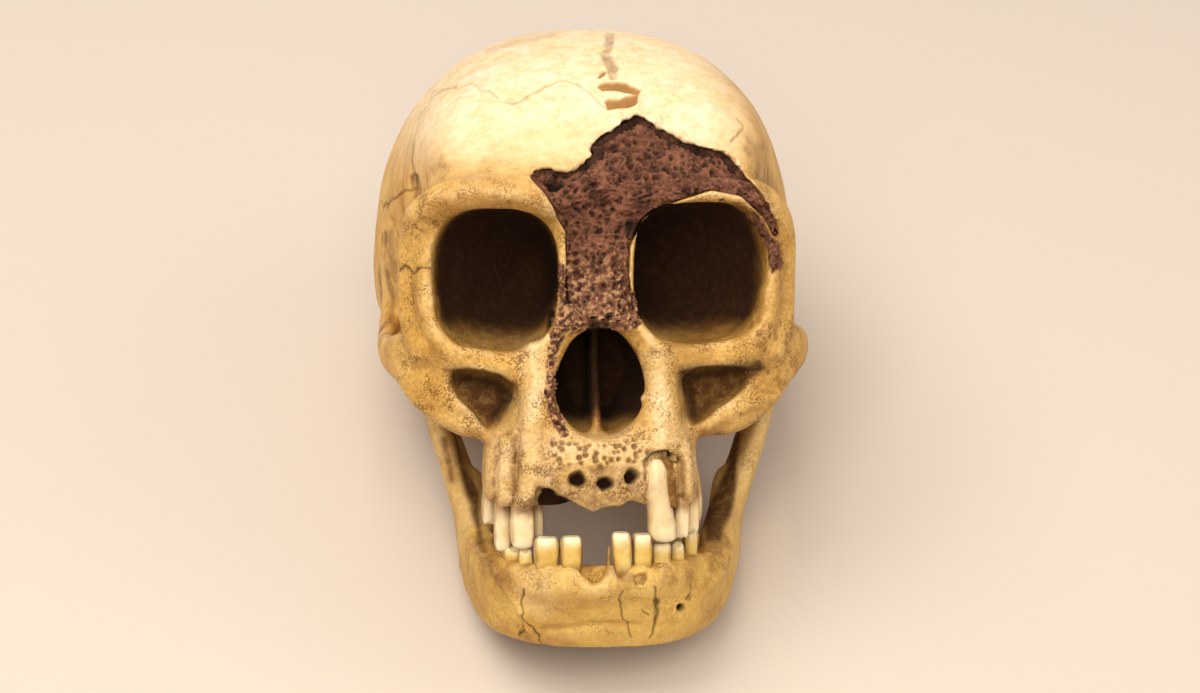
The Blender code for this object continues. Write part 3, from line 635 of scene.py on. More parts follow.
print("cracks, bands, flakes:", len(FRONT_CRACKS), len(BROWN_BANDS), len(LOST_FLAKES))

# %% [markdown]
# ## Sutures all round
#
# From the side, the back and above, a skull shows the seams between its bones. Each is
# drawn in the plane that it is seen in: the coronal and squamous seams from the side, the
# lambdoid seam from behind, the sagittal seam from above.

# %% Draw the sutures
CORONAL_SIDE = [(38, 16), (42, 30), (44, 45), (49, 60), (54, 79)]
SQUAMOUS_SIDE = [(40, 14), (46, 25), (58, 32), (70, 33), (82, 30), (92, 22), (98, 10), (99, 0)]
MASTOID_SIDE = [(99, 6), (98, -6), (94, -16)]
LAMBDOID_BACK = [(-54, 8), (-44, 20), (-32, 36), (-16, 52), (0, 61), (16, 52), (32, 36), (44, 20), (54, 8)]
SAGITTAL_TOP = [(1, 60), (-1, 76), (1, 92), (-1, 108), (0, 118)]
NO_SEAM = 99.0


def suture_distance(points, normals):
    """Distance to the nearest seam, in millimetres."""
    side = wandering(points[:, [1, 2]], points, 4.0, 1.5, 11)
    back = wandering(points[:, [0, 2]], points, 4.0, 2.0, 21)
    top = wandering(points[:, [0, 1]], points, 4.0, 1.8, 31)
    best = np.full(len(points), NO_SEAM)
    lateral = (np.abs(normals[:, 0]) > 0.3) & (np.abs(points[:, 0]) > 30)
    for line in (CORONAL_SIDE, SQUAMOUS_SIDE, MASTOID_SIDE):
        best = np.where(lateral, np.minimum(best, line_distance(side, line)), best)
    behind = (points[:, 1] > 88) & (normals[:, 1] > 0.05)
    best = np.where(behind, np.minimum(best, line_distance(back, LAMBDOID_BACK)), best)
    above = (points[:, 1] > 58) & (normals[:, 2] > 0.3)
    return np.where(above, np.minimum(best, line_distance(top, SAGITTAL_TOP)), best)


# %% [markdown]
# ## Finer squares for the face
#
# The face needs smaller squares than the braincase, so that pores and cracks have room.
# Only the face, the cracks and the torn edge are divided, as far as the camera sees them.
# Before that, the hollows are measured, since brown stain and painted shade will gather in them.

# %% Refine the face
ORBITS = [(-27.0, 17.2, 17.0, 19.6), (26.2, 18.8, 18.0, 19.6)]
SEPTUM_SHIFT = 0.8
HOLLOW_ROUNDS = 70
RELIEF_SPAN = 4.0


def socket_depth(points):
    """How deep in an eye socket or the nose each point lies, from 0 to 1; the septum counts too. The
    colours use it as painted shade, weaker on the lit floors.
    """
    depth = np.zeros(len(points))
    for centre_x, centre_z, half_x, half_z in ORBITS:
        out = ((points[:, 0] - centre_x) / half_x) ** 2 + ((points[:, 2] - centre_z) / half_z) ** 2
        within = smoothstep(1.35, 0.95, out) * (points[:, 1] < 46)
        floor_light = 0.75 * smoothstep(7, 1, points[:, 2]) * smoothstep(28, 12, points[:, 1])
        depth = np.maximum(depth, within * smoothstep(3, 15, points[:, 1]) * (1 - floor_light))
    x, y, z = points.T
    nose = smoothstep(14, 12, np.abs(x)) * smoothstep(9, 7, z) * smoothstep(-27, -24, z)
    nose *= smoothstep(38, 36, y)
    nose_floor = 0.8 * smoothstep(408, 428, photo_pixels(points)[:, 1]) * smoothstep(26, 16, points[:, 1])
    depth = np.maximum(depth, nose * smoothstep(-2, 6, points[:, 1]) * (1 - nose_floor))
    septum = smoothstep(3.5, 2.5, np.abs(x + SEPTUM_SHIFT)) * smoothstep(-19, -12, z) * (z < 8)
    return np.maximum(depth, 0.9 * septum * smoothstep(-9, -7, y) * (y < 38))


def mark_hollows(obj):
    """Stores how far each point lies in a hollow (above 0.5) or on a ridge (below 0.5)."""
    depth = hollowness(obj, HOLLOW_ROUNDS)
    set_mask(obj, "hollow", 0.5 + depth / RELIEF_SPAN)
    print(obj.name, "hollows and ridges, mm:", depth.max().round(2), depth.min().round(2))


def stored_relief(obj):
    """The stored depth of hollows (+) and height of ridges (-), in millimetres."""
    return (read_mask(obj, "hollow") - 0.5) * RELIEF_SPAN


def refine(obj, chosen):
    """Divides the chosen faces' edges once, and rounds the new points a little."""
    bm = bmesh.new()
    bm.from_mesh(obj.data)
    bm.faces.ensure_lookup_table()
    edges = {edge for index in chosen for edge in bm.faces[index].edges}
    bmesh.ops.subdivide_edges(bm, edges=list(edges), cuts=1, use_grid_fill=True, smooth=0.6)
    bm.to_mesh(obj.data)
    bm.free()
    print(obj.name, "faces after refining:", len(obj.data.polygons))


mark_hollows(cranium_skin)
centres, directions = face_data(cranium_skin)
flat_centres = photo_pixels(centres)
seen = facing_camera(centres, directions) > 0.05
face_zone = seen & (centres[:, 1] < 20) & (centres[:, 2] < 16) & (socket_depth(centres) < 0.15)
crack_zone = np.zeros(len(centres), bool)
for line, width, *_ in FRONT_CRACKS + BROWN_BANDS:
    crack_zone |= line_distance(flat_centres, line) < 3 + width
for outline in LOST_FLAKES:
    crack_zone |= line_distance(flat_centres, outline + [outline[0]]) < 8
crack_zone |= line_distance(flat_centres, TORN_EDGE) < 5.5
refine(cranium_skin, np.flatnonzero(face_zone | (crack_zone & seen)))

# %% [markdown]
# ## Carving the cranium
#
# Each kind of detail has its own small function: cracks, the rough face, the empty tooth
# sockets, and the sediment that sticks to the bone. All of them add to one shift for each
# point, and the masks that they give back are used again for the colours.

# %% Carve the cranium
VAULT_END = 75
SOCKET_DEPTH = 3.6
SOCKETS = [((576.5, 479.5), 9.5), ((605.5, 484.0), 8.5), ((631.5, 476.5), 8.0)]
CANINE_GAP = [(648, 462), (654, 456), (666, 455), (675, 460)]
LATTICE = [(545, 435), (600, 440), (652, 433), (656, 468), (625, 466), (600, 476), (575, 468), (550, 476)]
MOUTH_BROWN = [
    (545, 464), (575, 462), (640, 461), (648, 478), (646, 506), (620, 506), (598, 513), (575, 506),
    (548, 490)]
TORN_HOLE = [(537, 487), (548, 487), (566, 497), (586, 508), (566, 512), (545, 512), (537, 508)]
STUBS = [
    ([(592, 482), (592, 506)], 6.0), ([(618, 482), (619, 500)], 5.0), ([(645, 470), (645, 498)], 3.0),
    ([(560, 478), (566, 492)], 4.0)]
SIDE_MATRIX = [
    (551, 257), (562, 262), (572, 268), (580, 300), (577, 325), (567, 336), (561, 352), (559, 375),
    (557, 392), (565, 420), (572, 434), (560, 440), (548, 415), (545, 392), (547, 360), (549, 336),
    (556, 312), (556, 285)]
FLANK_MATRIX = [
    (716, 198), (740, 205), (757, 212), (772, 226), (780, 250), (781, 270), (770, 276), (766, 262),
    (763, 240), (755, 228), (740, 218), (724, 209)]
BRIDGE_MATRIX = [
    (570, 290), (640, 290), (646, 322), (636, 332), (622, 331), (605, 333), (585, 331), (572, 338)]


def veins(points, size, seed):
    """Raised strings between hollows: 1 on a string, 0 beside it."""
    return 1 - np.clip(np.abs(layered_noise(points, size, seed, 2)) * 3.2, 0, 1)


def matrix_relief(points):
    """The sediment's height, and its fine part alone: strings up, pores down."""
    lumps = 0.8 * layered_noise(points, 8, 101) + 0.5 * layered_noise(points, 3.0, 102, 3)
    strings = 0.7 * veins(points, 2.0, 106) + 0.45 * veins(points, 1.1, 107)
    pores = 0.8 * smoothstep(0.5, 0.15, cell_distance(points, 2.1, 103))
    pores += 0.5 * smoothstep(0.5, 0.2, cell_distance(points, 1.1, 104))
    fine = strings - 0.7 * pores
    return lumps + fine - 0.6, fine


def mark_matrix(obj, chosen, points, fine):
    """Masks of the painted shade in the sediment's pores, its painted glints on strings and grains, and its
    warmer lower end, at the chosen vertices.
    """
    pixels = photo_pixels(points)
    low_down = smoothstep(235, 300, pixels[:, 1] + 14 * layered_noise(points, 6, 110))
    warm = low_down * (pixels[:, 0] < 660)
    grains = smoothstep(0.0, 0.5, layered_noise(points, 1.1, 112, 2))
    # Painted shade where the fine surface is low, and painted glints where it is high and on grains.
    pore = smoothstep(0.32, -0.35, fine)
    glint = np.maximum(smoothstep(0.55, 1.0, fine), grains) * (0.55 + 0.45 * warm) * (1 - pore)
    for name, values in (("pore", pore), ("glint", glint), ("warm", warm)):
        spread = np.zeros(len(obj.data.vertices))
        spread[chosen] = values
        set_mask(obj, name, spread)


def torn(points):
    """Coarse wandering for broken edges."""
    return wandering(photo_pixels(points), points, 2.2, 3.0, 61)


def cut_cracks(skin, vault):
    """Cuts cracks, bands, seams and lost flakes."""
    strayed = skin.ragged(3.0, 2.0, 5)
    unevenness = 0.72 + 0.28 * soft_noise(skin.points, 3.0, 7)
    crack = np.zeros(len(skin.points))
    for line, width, strength in FRONT_CRACKS:
        mark = vault * groove(line_distance(strayed, line), width) * unevenness
        crack = np.maximum(crack, strength * mark)
        skin.lift -= 0.45 * mark
    band = np.zeros(len(skin.points))
    swayed = skin.ragged(2.0, 2.2, 6)
    for line, width, strength, depth in BROWN_BANDS:
        mark = vault * smoothstep(2.2, 0.9, line_distance(swayed, line) / width)
        band = np.maximum(band, strength * mark * unevenness)
        skin.lift -= depth * mark
    seam = 0.5 * groove(suture_distance(skin.points, skin.normals), 0.45) * (1 - skin.front)
    skin.lift -= 0.5 * seam
    flake = vault * patches(skin.ragged(1.6, 1.2, 9), LOST_FLAKES, 2.0)
    skin.lift -= 0.7 * flake
    return {"crack": np.maximum(crack, 0.8 * seam), "band": band, "flake": flake}


def roughen_face(skin, vault, broken):
    """Splinters the torn edge, and gives the face its pits, its grain and the lattice of its lower edge."""
    points = skin.points
    edge = vault * groove(line_distance(broken, TORN_EDGE), 5.0) * (points[:, 1] < 24)
    skin.lift += edge * (0.35 + 0.8 * soft_noise(points, 1.6, 15))
    face = skin.front * smoothstep(48, 34, points[:, 2])
    pits = only_where(face, lambda at: smoothstep(0.42, 0.15, cell_distance(points[at], 1.35, 41)))
    pits *= smoothstep(-0.2, 0.6, layered_noise(points, 7, 42)) * face
    skin.lift -= 0.22 * pits
    skin.lift += 0.13 * layered_noise(points, 1.8, 43, 3) * face
    lattice = region(skin.pixels, LATTICE, 7.0) * skin.front
    comb = only_where(lattice, lambda at: smoothstep(0.56, 0.25, cell_distance(points[at], 1.8, 51)))
    skin.lift += lattice * (0.35 - 1.2 * comb + 0.4 * layered_noise(points, 1.6, 52))
    ragged = skin.front * region(skin.pixels, MOUTH_BROWN, 6.0)
    skin.lift += 0.7 * ragged * layered_noise(points, 2.6, 53, 3)
    return {"pits": pits, "comb": lattice * comb}


def open_sockets(skin, broken):
    """Sinks the empty tooth sockets and the canine's gap, and raises stubs of bone between."""
    hole = groove(line_distance(skin.pixels, CANINE_GAP), 3.0)
    swayed = skin.ragged(2.0, 1.8, 62)
    for spot, radius in SOCKETS:
        away = np.linalg.norm(swayed - np.array(spot), axis=1)
        hole = np.maximum(hole, smoothstep(radius + 0.5, radius - 2.5, away))
    hole *= skin.front
    skin.lift -= SOCKET_DEPTH * hole
    for line, width in STUBS:
        skin.lift += 0.9 * skin.front * groove(line_distance(broken, line), width)
    return {"hole": hole}


def lay_matrix(obj, skin, vault, broken):
    """Builds up the sediment that sticks to the bone beside the hole."""
    near = smoothstep(13, 8, skin.points[:, 1])
    flank = vault * smoothstep(42, 34, skin.points[:, 1])
    matrix = np.maximum(near * patches(broken, (SIDE_MATRIX, BRIDGE_MATRIX), 1.5),
                        flank * region(broken, FLANK_MATRIX, 1.5))
    filled = np.flatnonzero(matrix > 0)
    height, fine = matrix_relief(skin.points[filled])
    skin.lift[filled] += matrix[filled] * height
    mark_matrix(obj, filled, skin.points[filled], fine)
    return {"matrix": matrix}


def carve_cranium(obj):
    skin = Skin(obj)
    vault = skin.seen * (skin.points[:, 1] < VAULT_END)
    broken = torn(skin.points)
    masks = cut_cracks(skin, vault)
    masks.update(roughen_face(skin, vault, broken))
    masks.update(open_sockets(skin, broken))
    masks.update(lay_matrix(obj, skin, vault, broken))
    skin.move(obj)
    return masks


marks = carve_cranium(cranium_skin)
print("points in each mask:", {name: int((mask > 0.3).sum()) for name, mask in marks.items()})

# %% [markdown]
# ## Where the colours go
#
# The cast is cream on the crown and on its ridges, with a painted highlight there, and ochre
# on the sides. Hollows get brown stain and painted shade; the tooth sockets, the eye sockets,
# the nose and faces that point down get painted shade; cracks are dark brown. These places are
# measured on the mesh and stored as values at its vertices, which the materials read.

# %% Store the colour masks
STREAKED = [
    [(742, 128), (762, 140), (778, 180), (786, 240), (788, 290), (774, 272), (764, 215), (752, 180),
     (740, 150)],
    [(374, 225), (396, 228), (400, 300), (394, 352), (372, 352)]]
# Painted shade along the furrows of the upper jaw and beside the bare canine, and two broad brown bands at
# the upper jaw's sides.
FURROW_SHADES = [
    ([(515, 438), (516, 470), (515, 492)], 6.5, 1.0), ([(497, 448), (495, 470), (494, 505)], 4.0, 0.8),
    ([(490, 440), (488, 505)], 9.0, 0.35), ([(692, 440), (696, 500)], 8.0, 0.35),
    ([(545, 440), (543, 462), (540, 482)], 6.0, 0.45), ([(681, 455), (683, 485), (682, 505)], 4.0, 0.9),
    ([(645, 460), (644, 502)], 2.2, 0.9), ([(674, 470), (679, 506)], 2.0, 0.9),
    ([(485, 452), (486, 500)], 2.5, 0.4), ([(511, 507), (537, 507)], 2.5, 0.8)]
# Strokes of painted shade in the cheek hollows.
HOLLOW_SHADES = [
    ([(462, 377), (496, 384), (506, 396), (496, 414)], 12.0), ([(684, 373), (715, 372), (756, 369)], 8.5),
    ([(684, 376), (691, 396), (693, 412)], 10.0)]
STREAK_SCALE = np.array([1.0, 0.6, 0.25])
PILLAR_WIDTH = 14
CANINE_ROOT = [(650, 458), (663, 456), (674, 462), (680, 510), (647, 512)]
STAINED_SPOTS = [
    ([(466, 205), (490, 199), (512, 203)], 7.0), ([(418, 225), (427, 240), (426, 262)], 5.0),
    ([(640, 345), (655, 352)], 4.0), ([(755, 330), (775, 345), (762, 362), (770, 380)], 14.0),
    ([(509, 510), (496, 511)], 3.0), ([(520, 510), (541, 511)], 3.0)]


def cream_and_highlight_places(skin, relief, blotch):
    """Cream with a painted highlight: the crown, the ridges, the bone above the teeth and the pillars
    beside the nose.
    """
    x, y, z = skin.points.T
    crown = smoothstep(38, 60, z + 5 * blotch) * smoothstep(60, 34, np.abs(x + 8) + 4 * blotch)
    ridge = smoothstep(0.10, 0.9, -relief)
    mouth = smoothstep(-14, -26, z) * smoothstep(8, -2, y)
    pillars = strokes(skin.pixels, [(line, PILLAR_WIDTH) for line, _, _ in SWELLS[:2]]) * skin.front
    return np.maximum.reduce([crown, 0.8 * ridge, 0.7 * mouth, 0.95 * pillars])


def stains_and_painted_shade(skin, relief, blotch, near):
    """Brown stain in streaks, spots and torn bone, and painted shade in hollows, furrows, cheek hollows and
    on faces that point down.
    """
    points, pixels, front = skin.points, skin.pixels, skin.front
    furrowed = front * (0.8 + 0.2 * soft_noise(points, 2.2, 79))
    torn_brown = front * (0.3 + 0.35 * smoothstep(-0.4, 0.5, layered_noise(points, 2.2, 81, 3)))
    streaks = smoothstep(-0.1, 0.5, layered_noise(points * STREAK_SCALE, 3.0, 78))
    speckled = front * smoothstep(-0.2, 0.5, soft_noise(points, 1.6, 77))
    # Painted shade on faces that point down, in the front of the skull.
    under = smoothstep(0.1, 0.8, -skin.normals[:, 2]) * smoothstep(40, 20, points[:, 1])
    lower_face = smoothstep(8, -2, points[:, 2]) * smoothstep(0.1, 0.7, blotch)
    # Painted shade in the hollows, the cheek hollows and along the furrows; streaks, spots, pits and bands
    # are stain.
    return np.maximum.reduce([
        0.7 * smoothstep(0.15, 1.3, relief + 0.25 * blotch),
        0.95 * near * patches(pixels, CHEEK_HOLLOWS, 12.0),
        furrowed * strokes(skin.ragged(2.5, 1.5, 80), FURROW_SHADES),
        torn_brown * region(pixels, MOUTH_BROWN, 6.0),
        0.75 * streaks * patches(pixels, STREAKED, 8.0),
        0.7 * speckled * strokes(pixels, STAINED_SPOTS),
        0.4 * under, 0.35 * lower_face, 0.55 * marks["pits"], 0.6 * marks["comb"],
        0.3 * marks["flake"], marks["band"]])


def cracks_and_painted_shade(skin, depth, near):
    """Cracks, and painted shade in the tooth sockets, the torn hole, the eye sockets, the nose and the
    cheek hollows.
    """
    swayed = skin.ragged(6, 3, 82)
    return np.maximum.reduce([
        marks["crack"], marks["hole"], 0.95 * depth ** 1.3, 0.3 * marks["comb"],
        region(torn(skin.points), TORN_HOLE, 3.0) * smoothstep(-24, -16, skin.points[:, 1]),
        0.85 * near * strokes(swayed, HOLLOW_SHADES),
        0.45 * near * patches(swayed, CHEEK_HOLLOWS, 14.0)])


def paint_cranium(obj):
    skin = Skin(obj)
    y, z = skin.points[:, 1], skin.points[:, 2]
    near = smoothstep(34, 24, y)
    depth = socket_depth(skin.points)
    relief = stored_relief(obj)
    blotch = layered_noise(skin.points, 22, 71)
    # The bone round the bare canine's root is painted brown as shade in its socket.
    bed = region(skin.pixels, CANINE_ROOT, 2.0) * smoothstep(14, 6, y)
    pale = cream_and_highlight_places(skin, relief, blotch) * (1 - bed) * (1 - depth) * (1 - marks["flake"])
    stain_and_shade = stains_and_painted_shade(skin, relief, blotch, near)
    # Masks: cream with a painted highlight; brown stain with painted shade; cracks with the darkest painted
    # shade in sockets and hollows.
    set_mask(obj, "pale", pale)
    set_mask(obj, "stain_and_shade", np.maximum.reduce([stain_and_shade, 0.9 * depth, 0.9 * bed]))
    set_mask(obj, "dark", cracks_and_painted_shade(skin, depth, near))
    set_mask(obj, "matrix", np.maximum(marks["matrix"], 0.4 * marks["flake"]))
    set_mask(obj, "porous", smoothstep(34, 8, y) * smoothstep(56, 30, z))
    print("pale share of the cranium:", (pale > 0.5).mean().round(2))


paint_cranium(cranium_skin)

# %% [markdown]
# ## Back to single bones
#
# The carved skin is now divided again, so that each bone is a piece of its own. Every face
# goes to the plain bone that it lies on, and neighbouring pieces share their edge exactly,
# so no gap shows.

# %% Divide the skin into bones
def plain_tree(nodes):
    """One search tree over several plain nodes, and the node of each of its faces."""
    corners, faces, owners = [], [], []
    for index, node in enumerate(nodes):
        mesh = bpy.data.objects[node].data
        mesh.calc_loop_triangles()
        start = len(corners)
        corners += [vertex.co.copy() for vertex in mesh.vertices]
        faces += [[start + i for i in triangle.vertices] for triangle in mesh.loop_triangles]
        owners += [index] * len(mesh.loop_triangles)
    return BVHTree.FromPolygons(corners, faces), owners


def divide(skin, nodes):
    tree, owners = plain_tree(nodes)
    centres = np.empty(len(skin.data.polygons) * 3)
    skin.data.polygons.foreach_get("center", centres)
    owner = np.array([owners[tree.find_nearest(Vector(c))[2]] for c in centres.reshape(-1, 3)])
    bones = {}
    for index, node in enumerate(nodes):
        bone = skin.copy()
        bone.data = skin.data.copy()
        bone.name = node + "_surface"
        bpy.context.collection.objects.link(bone)
        bm = bmesh.new()
        bm.from_mesh(bone.data)
        bm.faces.ensure_lookup_table()
        other = [bm.faces[i] for i in np.flatnonzero(owner != index)]
        bmesh.ops.delete(bm, geom=other, context="FACES")
        bm.to_mesh(bone.data)
        bm.free()
        bones[node] = bone
        print(bone.name, "faces:", len(bone.data.polygons))
    return bones


bones = divide(cranium_skin, CRANIUM_NODES)
bpy.data.objects.remove(cranium_skin, do_unlink=True)

# %% [markdown]
# ## The mandible
#
# The jaw is ochre with a marbled brown-yellow surface, fine upright cracks on its front, a
# small hole for a nerve, and a torn edge where teeth have fallen out. Its hollows, inner
# faces and the insides of its branches get painted shade, and its ridges a painted highlight.

# %% Carve and paint the mandible
JAW_CRACKS = [
    ([(523, 590), (522, 606), (523, 612), (521, 637)], 0.9), ([(524, 619), (534, 629), (545, 645)], 0.8),
    ([(622, 590), (621, 602), (621, 613), (626, 622), (632, 637)], 0.9),
    ([(655, 586), (655, 594), (657, 604), (656, 618), (650, 639)], 1.2), ([(643, 608), (649, 614)], 0.9),
    ([(690, 585), (689, 600)], 0.7)]
# Strokes of painted shade on the jaw's branches.
JAW_SHADES = [([(444, 440), (452, 480)], 4.0), ([(480, 545), (500, 580)], 9.0)]
RAMUS_SHADES = [
    [(446, 428), (460, 430), (468, 465), (484, 492), (484, 520), (492, 548), (478, 548), (466, 505),
     (456, 470)],
    [(735, 425), (748, 430), (743, 460), (739, 490), (731, 520), (722, 545), (700, 545), (700, 510),
     (710, 488), (722, 462)]]
NERVE_HOLE = (681, 608)
JAW_ENDS = (30, 20)
JAW_RIDGES = [
    ([(473, 542), (490, 565), (508, 590), (521, 612)], 4.0, 0.7),
    ([(737, 545), (726, 560), (712, 590)], 5.0, 0.6), ([(560, 588), (600, 597), (650, 588)], 16.0, 0.5)]
CREST = [
    (535, 569), (560, 569), (577, 571), (587, 581), (592, 586), (600, 582), (610, 566), (620, 580),
    (627, 571), (640, 569), (665, 571), (684, 566)]
CREST_PATCH = [(632, 573), (645, 571), (650, 578), (646, 587), (634, 586)]
CHIN_FOLD = [(545, 630), (575, 628), (605, 624), (640, 626)]


def carve_mandible(obj):
    """The jaw's larger ridges and the fold below its chin."""
    skin = Skin(obj, JAW_ENDS)
    skin.lift += 0.4 * layered_noise(skin.points, 12, 81)
    skin.draw(JAW_RIDGES)
    skin.lift -= 0.9 * skin.front * groove(line_distance(skin.pixels, CHIN_FOLD), 4.0)
    skin.move(obj)


def score_mandible(obj, skin):
    """Cuts cracks, the nerve's hole and a lost patch, and tears the crest."""
    points = skin.points
    skin.lift += 0.22 * layered_noise(points, 4.5, 82) + 0.12 * layered_noise(points, 1.6, 83, 3)
    crack = skin.front * strokes(skin.ragged(2.2, 3.0, 85), JAW_CRACKS)
    crack *= 0.75 + 0.25 * soft_noise(points, 3.0, 88)
    away = np.linalg.norm(skin.pixels - np.array(NERVE_HOLE), axis=1)
    hole = skin.front * smoothstep(5.0, 2.5, away)
    patch = skin.front * region(skin.ragged(1.6, 1.5, 86), CREST_PATCH, 3.0)
    skin.lift -= 0.6 * crack + 1.8 * hole + 0.9 * patch
    crest = skin.front * groove(line_distance(skin.pixels, CREST), 7.0)
    skin.lift += 0.5 * crest * layered_noise(points, 1.8, 87)
    skin.move(obj)
    return crack, hole, patch


def paint_mandible(obj, skin, crack, hole, patch):
    x, y, z = skin.points.T
    relief = stored_relief(obj)
    blotch = layered_noise(skin.points, 16, 91)
    fine = layered_noise(skin.points, 5, 92)
    gum = smoothstep(-66, -58, z) * smoothstep(26, 16, y)
    inward = -np.sign(x) * skin.normals[:, 0]
    inner_side = patches(skin.ragged(6, 3, 89), RAMUS_SHADES, 8.0) * smoothstep(8, 16, y)
    # Brown stain, with painted shade in the hollows, on the faces turned inward and inside the branches.
    stain_and_shade = np.maximum.reduce([
        0.7 * smoothstep(0.1, 1.0, relief + 0.3 * fine),
        0.6 * gum * smoothstep(-0.3, 0.4, fine),
        0.35 * smoothstep(0.1, 0.6, inward) * smoothstep(0, 10, y),
        0.35 * smoothstep(0.0, 0.6, blotch),
        0.8 * skin.seen * strokes(skin.pixels, JAW_SHADES),
        0.75 * patch, 0.85 * inner_side])
    # A painted highlight on the ridges, with paler blotches and a paler back.
    ridge = 0.6 * smoothstep(0.1, 0.9, -relief)
    set_mask(obj, "pale", ridge + 0.25 * smoothstep(0.1, 0.6, -blotch) + 0.15 * smoothstep(22, 34, y))
    set_mask(obj, "stain_and_shade", stain_and_shade)
    # Cracks, and painted shade in the nerve's hole and inside the branches.
    set_mask(obj, "dark", np.maximum.reduce([crack, hole, 0.6 * inner_side]))
    set_mask(obj, "matrix", np.zeros(len(x)))
    set_mask(obj, "porous", 0.45 + 0.25 * gum)


carve_mandible(jaw_copy)
mark_hollows(jaw_copy)
centres, directions = face_data(jaw_copy)
jaw_front = (facing_camera(centres, directions) > 0.05) & (centres[:, 1] < 12)
refine(jaw_copy, np.flatnonzero(jaw_front))
jaw_skin = Skin(jaw_copy, JAW_ENDS)
paint_mandible(jaw_copy, jaw_skin, *score_mandible(jaw_copy, jaw_skin))
bones["mandible"] = jaw_copy

# %% [markdown]
# ## The brown matrix
#
# Hardened sediment fills the hole in the forehead and the bridge of the nose. It is rough
# and full of pores, like coarse pumice, with one oval pit at its left end. Along the orbit's
# upper rim a thin lip of bone stays on it.

# %% Carve the matrix
INFILL_PIT = (551.5, 181.5)
PIT_HALF_SIZE = (13.0, 7.0)
UPPER_MARGIN = [
    (560, 168), (577, 163), (597, 150), (590, 143), (609, 129), (639, 111), (668, 126), (697, 145),
    (727, 149), (738, 165)]
LOWER_MARGIN = [(570, 300), (571, 318), (582, 322), (632, 322), (634, 300)]
ORBIT_LIP = [(654, 214), (662, 210), (676, 205), (693, 202)]
OUTER_LIP = [(713, 200), (726, 207), (741, 216), (755, 223), (762, 232)]
BROW_NOTCH = [(694, 204), (696, 193), (706, 194), (713, 199)]
SINUS_HOLE = (634, 228)
INFILL_GROWTH = 0.3
INFILL_VOXEL = 0.38

infill = merged_copy("brown_matrix_surface", ["brown_infill"], INFILL_GROWTH)
apply_modifier(infill, "REMESH", mode="VOXEL", voxel_size=INFILL_VOXEL * MM)
apply_modifier(infill, "SMOOTH", factor=0.5, iterations=10)


def carve_infill(obj):
    skin = Skin(obj)
    points, pixels = skin.points, skin.pixels
    height, fine = matrix_relief(points)
    under_edge = groove(line_distance(skin.ragged(3.0, 2.0, 108), UPPER_MARGIN), 6.0)
    from_pit = (pixels - np.array(INFILL_PIT)) / np.array(PIT_HALF_SIZE)
    pit = smoothstep(1.25, 0.7, np.linalg.norm(from_pit, axis=1))
    sinus = smoothstep(13, 5, np.linalg.norm(pixels - np.array(SINUS_HOLE), axis=1))
    lip = strokes(pixels, [(ORBIT_LIP, 1.8), (OUTER_LIP, 1.8)])
    notch = groove(line_distance(pixels, BROW_NOTCH), 3.0)
    height += 0.7 * groove(line_distance(pixels, LOWER_MARGIN), 5.0)
    height -= 0.9 * smoothstep(220, 180, pixels[:, 1]) + 2.2 * under_edge + 3.2 * pit
    skin.lift += skin.seen * height
    skin.move(obj)
    mark_matrix(obj, np.arange(len(points)), points, fine)
    # Painted shade in the pit, the sinus hole and the brow notch, and a painted shadow under the bone's
    # upper edge.
    set_mask(obj, "dark", np.maximum.reduce([pit, 0.75 * under_edge, 0.8 * sinus, 0.6 * notch]))
    set_mask(obj, "bone", 0.8 * lip * skin.seen)


carve_infill(infill)
print("matrix faces:", len(infill.data.polygons))
bones["brown_infill"] = infill

# %% [markdown]
# ## Teeth
#
# A tooth is a rounded peg: narrow at the neck, widest a third of the way up, with a worn,
# slightly dished biting edge. Each one starts as a cube that is cut finely and drawn into
# that form, and its root goes down into the jaw.

# %% Model the teeth
ALVEOLAR_HALF_WIDTH = 29.4
ALVEOLAR_FRONT = -13.5
ARCH_MIDDLE = 10.0
ARCH_POWER = 2.35
LOWER_ROW = 22.6
UPPER_ROW = ALVEOLAR_HALF_WIDTH - 5.0
LOWER_FRONT = ALVEOLAR_FRONT + 3.0
GRID_CUTS = 11
PROFILES = {"blade": [0.45, 0.8, 0.88, 1.0, 1.0], "canine": [0.6, 0.8, 0.9, 1.0, 0.88],
            "molar": [0.4, 0.78, 0.86, 1.0, 0.88], "bare": [0.62, 0.8, 0.84, 1.0, 0.86],
            "splinter": [0.9, 1.0, 0.9, 0.6, 0.25]}


def arch_point(half_width, front, angle):
    """A place on the arch of teeth: angle 0 is in front, and beyond 90 it runs straight back."""
    if angle > 90:
        return half_width, ARCH_MIDDLE + (angle - 90) * 0.6
    turn = math.radians(angle)
    bend = 2 / ARCH_POWER
    depth = (ARCH_MIDDLE - front) * math.cos(turn) ** bend
    return half_width * math.sin(turn) ** bend, ARCH_MIDDLE - depth


def cube_grid(name, cuts):
    """A cube from -1 to 1 with each face cut into small squares."""
    bpy.ops.mesh.primitive_cube_add(size=2.0)
    obj = bpy.context.object
    obj.name = name
    bpy.ops.object.mode_set(mode="EDIT")
    bpy.ops.mesh.select_all(action="SELECT")
    bpy.ops.mesh.subdivide(number_cuts=cuts)
    bpy.ops.object.mode_set(mode="OBJECT")
    return obj


def girth(along, neck, crown, kind):
    """How thick a tooth is along its length, 1 at its widest."""
    shape = np.interp(along, [0, neck * 0.6, neck, neck + 0.45 * (1 - neck), 1.0], PROFILES[kind])
    shape *= 1 - 0.12 * smoothstep(0.88, 1.0, crown)
    if kind == "bare":
        shape *= 0.35 + 0.65 * smoothstep(-0.04, 0.12, along)
    return shape


